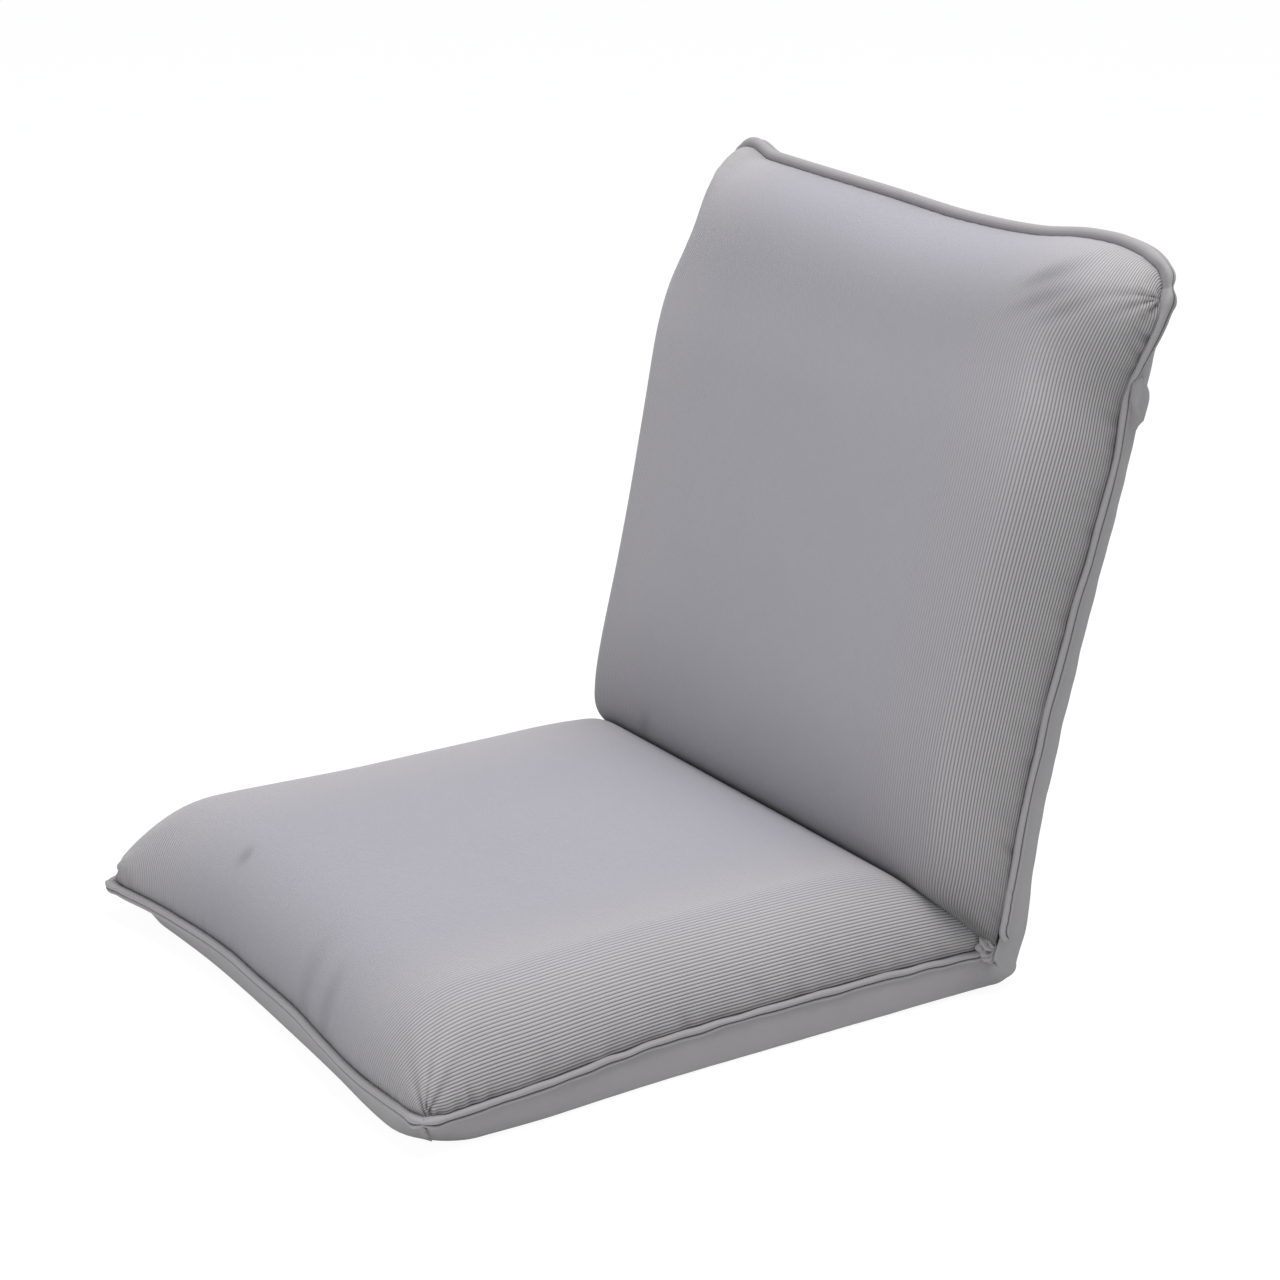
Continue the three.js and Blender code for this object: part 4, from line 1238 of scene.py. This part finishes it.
def weaveGroup():
    # A plain weave on the cloth's own UV map, in metres
    tree, given, made = nodeGroup(
        "plainWeave", {"Pitch": 0.0009}, {"Height": "NodeSocketFloat", "Gaps": "NodeSocketFloat"}
    )
    uv = addNode(tree, "ShaderNodeUVMap", uv_map="cloth").outputs["UV"]
    split = addNode(tree, "ShaderNodeSeparateXYZ", {0: uv})
    waves = []
    for axis in ("X", "Y"):
        turns = math2(tree, "DIVIDE", split.outputs[axis], given.outputs["Pitch"])
        waves.append(math2(tree, "SINE", math2(tree, "MULTIPLY", turns, math.pi)))
    both = math2(tree, "MULTIPLY", waves[0], waves[1])
    height = math2(tree, "ABSOLUTE", both)
    tree.links.new(math2(tree, "MULTIPLY_ADD", height, 0.5, 0.5), made.inputs["Height"])
    threads = [math2(tree, "MULTIPLY", math2(tree, "ABSOLUTE", wave), 2.0) for wave in waves]
    gaps = math2(tree, "SUBTRACT", 1.0, math2(tree, "MINIMUM", *threads))
    tree.links.new(math2(tree, "MAXIMUM", gaps, 0.0), made.inputs["Gaps"])
    return tree


def material(name, roughness=0.9, metallic=0.0, sheen=0.0):
    made = bpy.data.materials.new(name)
    made.use_nodes = True
    shader = made.node_tree.nodes["Principled BSDF"]
    shader.inputs["Roughness"].default_value = roughness
    shader.inputs["Metallic"].default_value = metallic
    shader.inputs["Sheen Weight"].default_value = sheen
    shader.inputs["Sheen Roughness"].default_value = 0.5
    return made, made.node_tree, shader


def placeGroup(tree, group, **values):
    return addNode(tree, "ShaderNodeGroup", values, node_tree=group)


def bump(tree, shader, height, distance, strength=1.0):
    node = addNode(tree, "ShaderNodeBump", {"Height": height, "Distance": distance, "Strength": strength})
    tree.links.new(node.outputs["Normal"], shader.inputs["Normal"])


def attributeValue(tree, name):
    return addNode(tree, "ShaderNodeAttribute", attribute_name=name).outputs["Fac"]


def darkened(tree, name, amount):
    return math2(tree, "MULTIPLY_ADD", attributeValue(tree, name), amount, 1.0)


def dressCloth(tree, shader, wear, shade):
    tree.links.new(vectorScaled(tree, wear.outputs["Color"], shade), shader.inputs["Base Color"])
    tree.links.new(wear.outputs["Roughness"], shader.inputs["Roughness"])


def mixColours(tree, factor, first, second):
    inputs = {"Factor": factor, "A": first, "B": second}
    return addNode(tree, "ShaderNodeMix", inputs, data_type="RGBA").outputs["Result"]


clothWear = clothWearGroup()
plainWeave = weaveGroup()
clothLook = {
    "ribbed": (0.347, 0.337, 0.37, 1),
    "ribbedShadedSide": (0.35, 0.338, 0.342, 1),
    "plain": (0.323, 0.312, 0.317, 1),
    "patches": 0.06,
    # Painted shade in the rib valleys, towards the seam, in the folds and creases, and the painted highlight on the
    # ridges
    "valleyShadePower": 0.7,
    "ribValleyShade": (0.98, 0.08),
    "ribRidgeHighlight": (0.42, 1.03),
    "seamShadeDark": -0.84,
    "foldShadeDark": -0.42,
    "creaseShadeDark": -0.7,
    "gapDark": -0.16,
    "weavePitch": 0.0009,
    "weaveHeight": 0.00012,
}


def ribbedCloth():
    look = clothLook
    made, tree, shader = material("ribbedCloth", sheen=0.12)
    sideward = attributeValue(tree, "sideward")
    # The sides get a greyer copy of the cloth's colour, a painted shade tint
    tone = mixColours(tree, sideward, look["ribbed"], look["ribbedShadedSide"])
    wear = placeGroup(tree, clothWear, Patches=look["patches"], Fuzz=0.14)
    tree.links.new(tone, wear.inputs["Color"])
    rib = attributeValue(tree, "rib")
    # Painted shade in the valleys, deepest on the rounded sides, where the ribs stand open; the ridges are painted
    # lighter, most on the sides, as a painted highlight
    valley = math2(tree, "SUBTRACT", 1.0, math2(tree, "POWER", rib, look["valleyShadePower"]))
    depth = math2(tree, "MULTIPLY_ADD", sideward, *look["ribValleyShade"])
    tone = math2(tree, "MULTIPLY_ADD", depth, *look["ribRidgeHighlight"])
    ribShade = math2(tree, "SUBTRACT", tone, math2(tree, "MULTIPLY", valley, depth))
    # Painted shade towards the seam, in the pucker hollows, and at the free end, the crease and the sides
    seam, fold = darkened(tree, "seamward", look["seamShadeDark"]), darkened(tree, "fold", look["foldShadeDark"])
    dressCloth(tree, shader, wear, product(tree, ribShade, seam, fold, attributeValue(tree, "shade")))
    bump(tree, shader, wear.outputs["Fuzz"], 0.0003, 0.5)
    return made


def plainCloth(name, fuzz, tone, creased):
    look = clothLook
    made, tree, shader = material(name, sheen=0.08)
    wear = placeGroup(tree, clothWear, Color=look["plain"], Patches=look["patches"], Fuzz=fuzz)
    weave = placeGroup(tree, plainWeave, Pitch=look["weavePitch"])
    shade = math2(tree, "MULTIPLY_ADD", weave.outputs["Gaps"], look["gapDark"], tone)
    # On the welts and the gathers, painted shade in the folds and crease hollows
    if creased:
        shade = math2(tree, "MULTIPLY", shade, darkened(tree, "valley", look["creaseShadeDark"]))
    dressCloth(tree, shader, wear, shade)
    bump(tree, shader, weave.outputs["Height"], look["weaveHeight"])
    return made


def grainyMaterial(name, colour, roughness, metallic, scale, distance):
    # Painted, plated and foamed surfaces: an even colour with a fine grain
    made, tree, shader = material(name, roughness, metallic)
    coords = addNode(tree, "ShaderNodeTexCoord").outputs["Object"]
    grain = addNode(tree, "ShaderNodeTexNoise", {"Vector": coords, "Scale": scale, "Detail": 4}).outputs["Fac"]
    dark = tuple(0.8 * c for c in colour) + (1,)
    light = tuple(min(1.0, 1.15 * c) for c in colour) + (1,)
    tree.links.new(mixColours(tree, grain, dark, light), shader.inputs["Base Color"])
    bump(tree, shader, grain, distance)
    return made


# Camera, light and floor
viewLook = {
    "azimuth": 57.811,
    "elevation": 19.565,
    "distance": 2.9546,
    "target": (-0.3094, 0.238, 0.0983),
    "aimRight": 0.01403,
    "aimUp": 0.00558,
    "focal": 3406.4,
    "frame": 1280,
}


def makeCamera():
    look = viewLook
    azimuth, elevation = math.radians(look["azimuth"]), math.radians(look["elevation"])
    back = np.array(
        [math.sin(azimuth) * math.cos(elevation), -math.cos(azimuth) * math.cos(elevation), math.sin(elevation)]
    )
    right = np.cross([0, 0, 1], back)
    right /= np.linalg.norm(right)
    up = np.cross(back, right)
    place = np.array(look["target"]) + look["distance"] * back
    forward = -back + look["aimRight"] * right + look["aimUp"] * up
    forward /= np.linalg.norm(forward)
    data = bpy.data.cameras.new("camera")
    data.sensor_width = 36
    data.lens = look["focal"] / look["frame"] * 36
    camera = linked("camera", data)
    camera.rotation_euler = Vector(forward).to_track_quat("-Z", "Y").to_euler()
    camera.location = place
    bpy.context.scene.camera = camera


def directRays(tree):
    path = addNode(tree, "ShaderNodeLightPath").outputs
    return path, math2(tree, "MAXIMUM", path["Is Camera Ray"], path["Is Glossy Ray"])


def makeLights():
    scene = bpy.context.scene
    world = bpy.data.worlds.new("studio")
    scene.world = world
    world.use_nodes = True
    tree = world.node_tree
    tree.nodes.clear()
    path, seen = directRays(tree)
    seen = math2(tree, "MAXIMUM", seen, path["Is Transmission Ray"])
    soft = addNode(tree, "ShaderNodeBackground", {"Color": (0.95, 0.97, 1, 1), "Strength": 0.44})
    white = addNode(tree, "ShaderNodeBackground", {"Color": (1, 1, 1, 1)})
    mix = addNode(tree, "ShaderNodeMixShader", {0: seen, 1: soft.outputs[0], 2: white.outputs[0]})
    addNode(tree, "ShaderNodeOutputWorld", {0: mix.outputs[0]})
    for name, place, size, energy in (("key", (0.35, 0.5, 2.6), 1.5, 56), ("front", (0.6, -2.7, 1.1), 1.6, 22)):
        lamp = bpy.data.lights.new(name, "AREA")
        lamp.size = size
        lamp.energy = energy
        obj = linked(name, lamp)
        obj.location = place
        obj.rotation_euler = (Vector((0, 0.1, 0.2)) - Vector(place)).to_track_quat("-Z", "Y").to_euler()
    scene.view_settings.view_transform = "Standard"


def makeFloor():
    corners = np.array([(-6, -6, 0), (6, -6, 0), (6, 6, 0), (-6, 6, 0)], float) + np.array([0, 0, -0.0006])
    floor = meshObject("floor", corners, [(0, 1, 2, 3)], smoothFaces=False)
    made, tree, shader = material("paleFloor")
    shader.inputs["Base Color"].default_value = (0.86, 0.86, 0.86, 1)
    glow = addNode(tree, "ShaderNodeEmission", {"Color": (1, 1, 1, 1), "Strength": 1.08})
    seen = math2(tree, "MULTIPLY", directRays(tree)[1], 0.86)
    mix = addNode(tree, "ShaderNodeMixShader", {0: seen, 1: shader.outputs[0], 2: glow.outputs[0]})
    tree.links.new(mix.outputs[0], tree.nodes["Material Output"].inputs["Surface"])
    floor.data.materials.append(made)


makeCamera()
makeLights()
makeFloor()
print("camera, light and floor made")

# Where the cloth turns from one panel to the other: straight across the crease
turnReach = 45 * mm
turnWay = np.array([0, math.sin(halfOpening), math.cos(halfOpening)])
turnStart = tuple(pivot - turnReach * turnWay)
turnEnd = tuple(pivot + turnReach * turnWay)
# The pads part above their seams, so their own turn starts steeper over each panel
padTurn = {"reach": 57, "shift": 5.9, "along": 0.99, "over": 0.14}


def padBlend(pad, name):
    along = np.array([0, 1, 0]) if name == "seat" else np.array([0, math.cos(restAngle), math.sin(restAngle)])
    over = np.array([0, 0, 1]) if name == "seat" else np.array([0, math.sin(restAngle), -math.cos(restAngle)])
    way = (padTurn["along"] * along + padTurn["over"] * over) * mm
    middle = pivot + way * padTurn["shift"] * (-1 if name == "seat" else 1)
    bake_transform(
        pad, "seat", "back", start=tuple(middle - way * padTurn["reach"]), end=tuple(middle + way * padTurn["reach"])
    )


ribbed = ribbedCloth()
plain = plainCloth("plainCloth", 0.1, 1.03, creased=False)
welted = plainCloth("weltCloth", 0.12, 1.05, creased=True)
thread = grainyMaterial("greyThread", (0.3, 0.295, 0.305), 0.75, 0.0, 2500, 0.00004)
ribNodes, weltNodes, stitchNodes = ribTree(), weltTree(), stitchTree()
firmPads = []
for shape, objectName, nodes in (
    (seatShape, "seatRibbedPad", ("seat_ribbed_cover", "seat_crown_foam")),
    (backShape, "backRibbedPad", ("back_ribbed_cover", "back_crown_foam")),
):
    pad = makePad(shape, objectName, ribbed)
    padBlend(pad, shape["name"])
    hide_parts(*nodes)
    print(objectName, len(pad.data.polygons), "faces")

for shape in (seatShape, backShape):
    firmPad = makeFirmPad(shape, shape["name"] + "FirmPad")
    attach(firmPad, shape["name"])
    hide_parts(shape["name"] + "_firm_pad")
    firmPads.append(firmPad)

cover, cut = makeCover()
cover.data.materials.append(plain)
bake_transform(cover, "seat", "back", start=turnStart, end=turnEnd)
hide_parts("seat_base_cover", "back_rear_cover")
print("plain cover made, cut to", [round(side, 3) for side in cut["flat"]], "m,", round(cut["area"], 3), "m2")

for shape, objectName, node, seed in (
    (seatShape, "seatWelt", "seat_welt", 21), (backShape, "backWelt", "back_welt", 31)
):
    weltPiece, stitchLine = makeWelt(shape, objectName, seed, welted, thread)
    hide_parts(node)
    for piece in (weltPiece, stitchLine):
        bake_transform(piece, "seat", "back", start=turnStart, end=turnEnd)
gathers = makeGathers()
gathers.data.materials.append(welted)
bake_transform(gathers, "seat", "back", start=turnStart, end=turnEnd)
print("welts and gathers made")

# The frame's own pieces get their finishes
finishes = {
    "black_steel": grainyMaterial("blackPowderCoat", (0.03, 0.032, 0.036), 0.45, 0.0, 1800, 0.00003),
    "zinc_steel": grainyMaterial("zincPlate", (0.62, 0.63, 0.66), 0.32, 1.0, 320, 0.00001),
    "foam": grainyMaterial("creamFoam", (0.81, 0.76, 0.62), 0.95, 0.0, 900, 0.0005),
    "webbing": grainyMaterial("darkWebbing", (0.05, 0.05, 0.055), 0.8, 0.0, 1400, 0.0002),
}
for firmPad in firmPads:
    firmPad.data.materials.append(finishes["foam"])
for part in frame["record"]["subparts"]:
    finish = finishes.get(part["material_slot"])
    if finish:
        node = frame["nodes"][part["node"]]
        node.data.materials.clear()
        node.data.materials.append(finish)
print("frame finished")
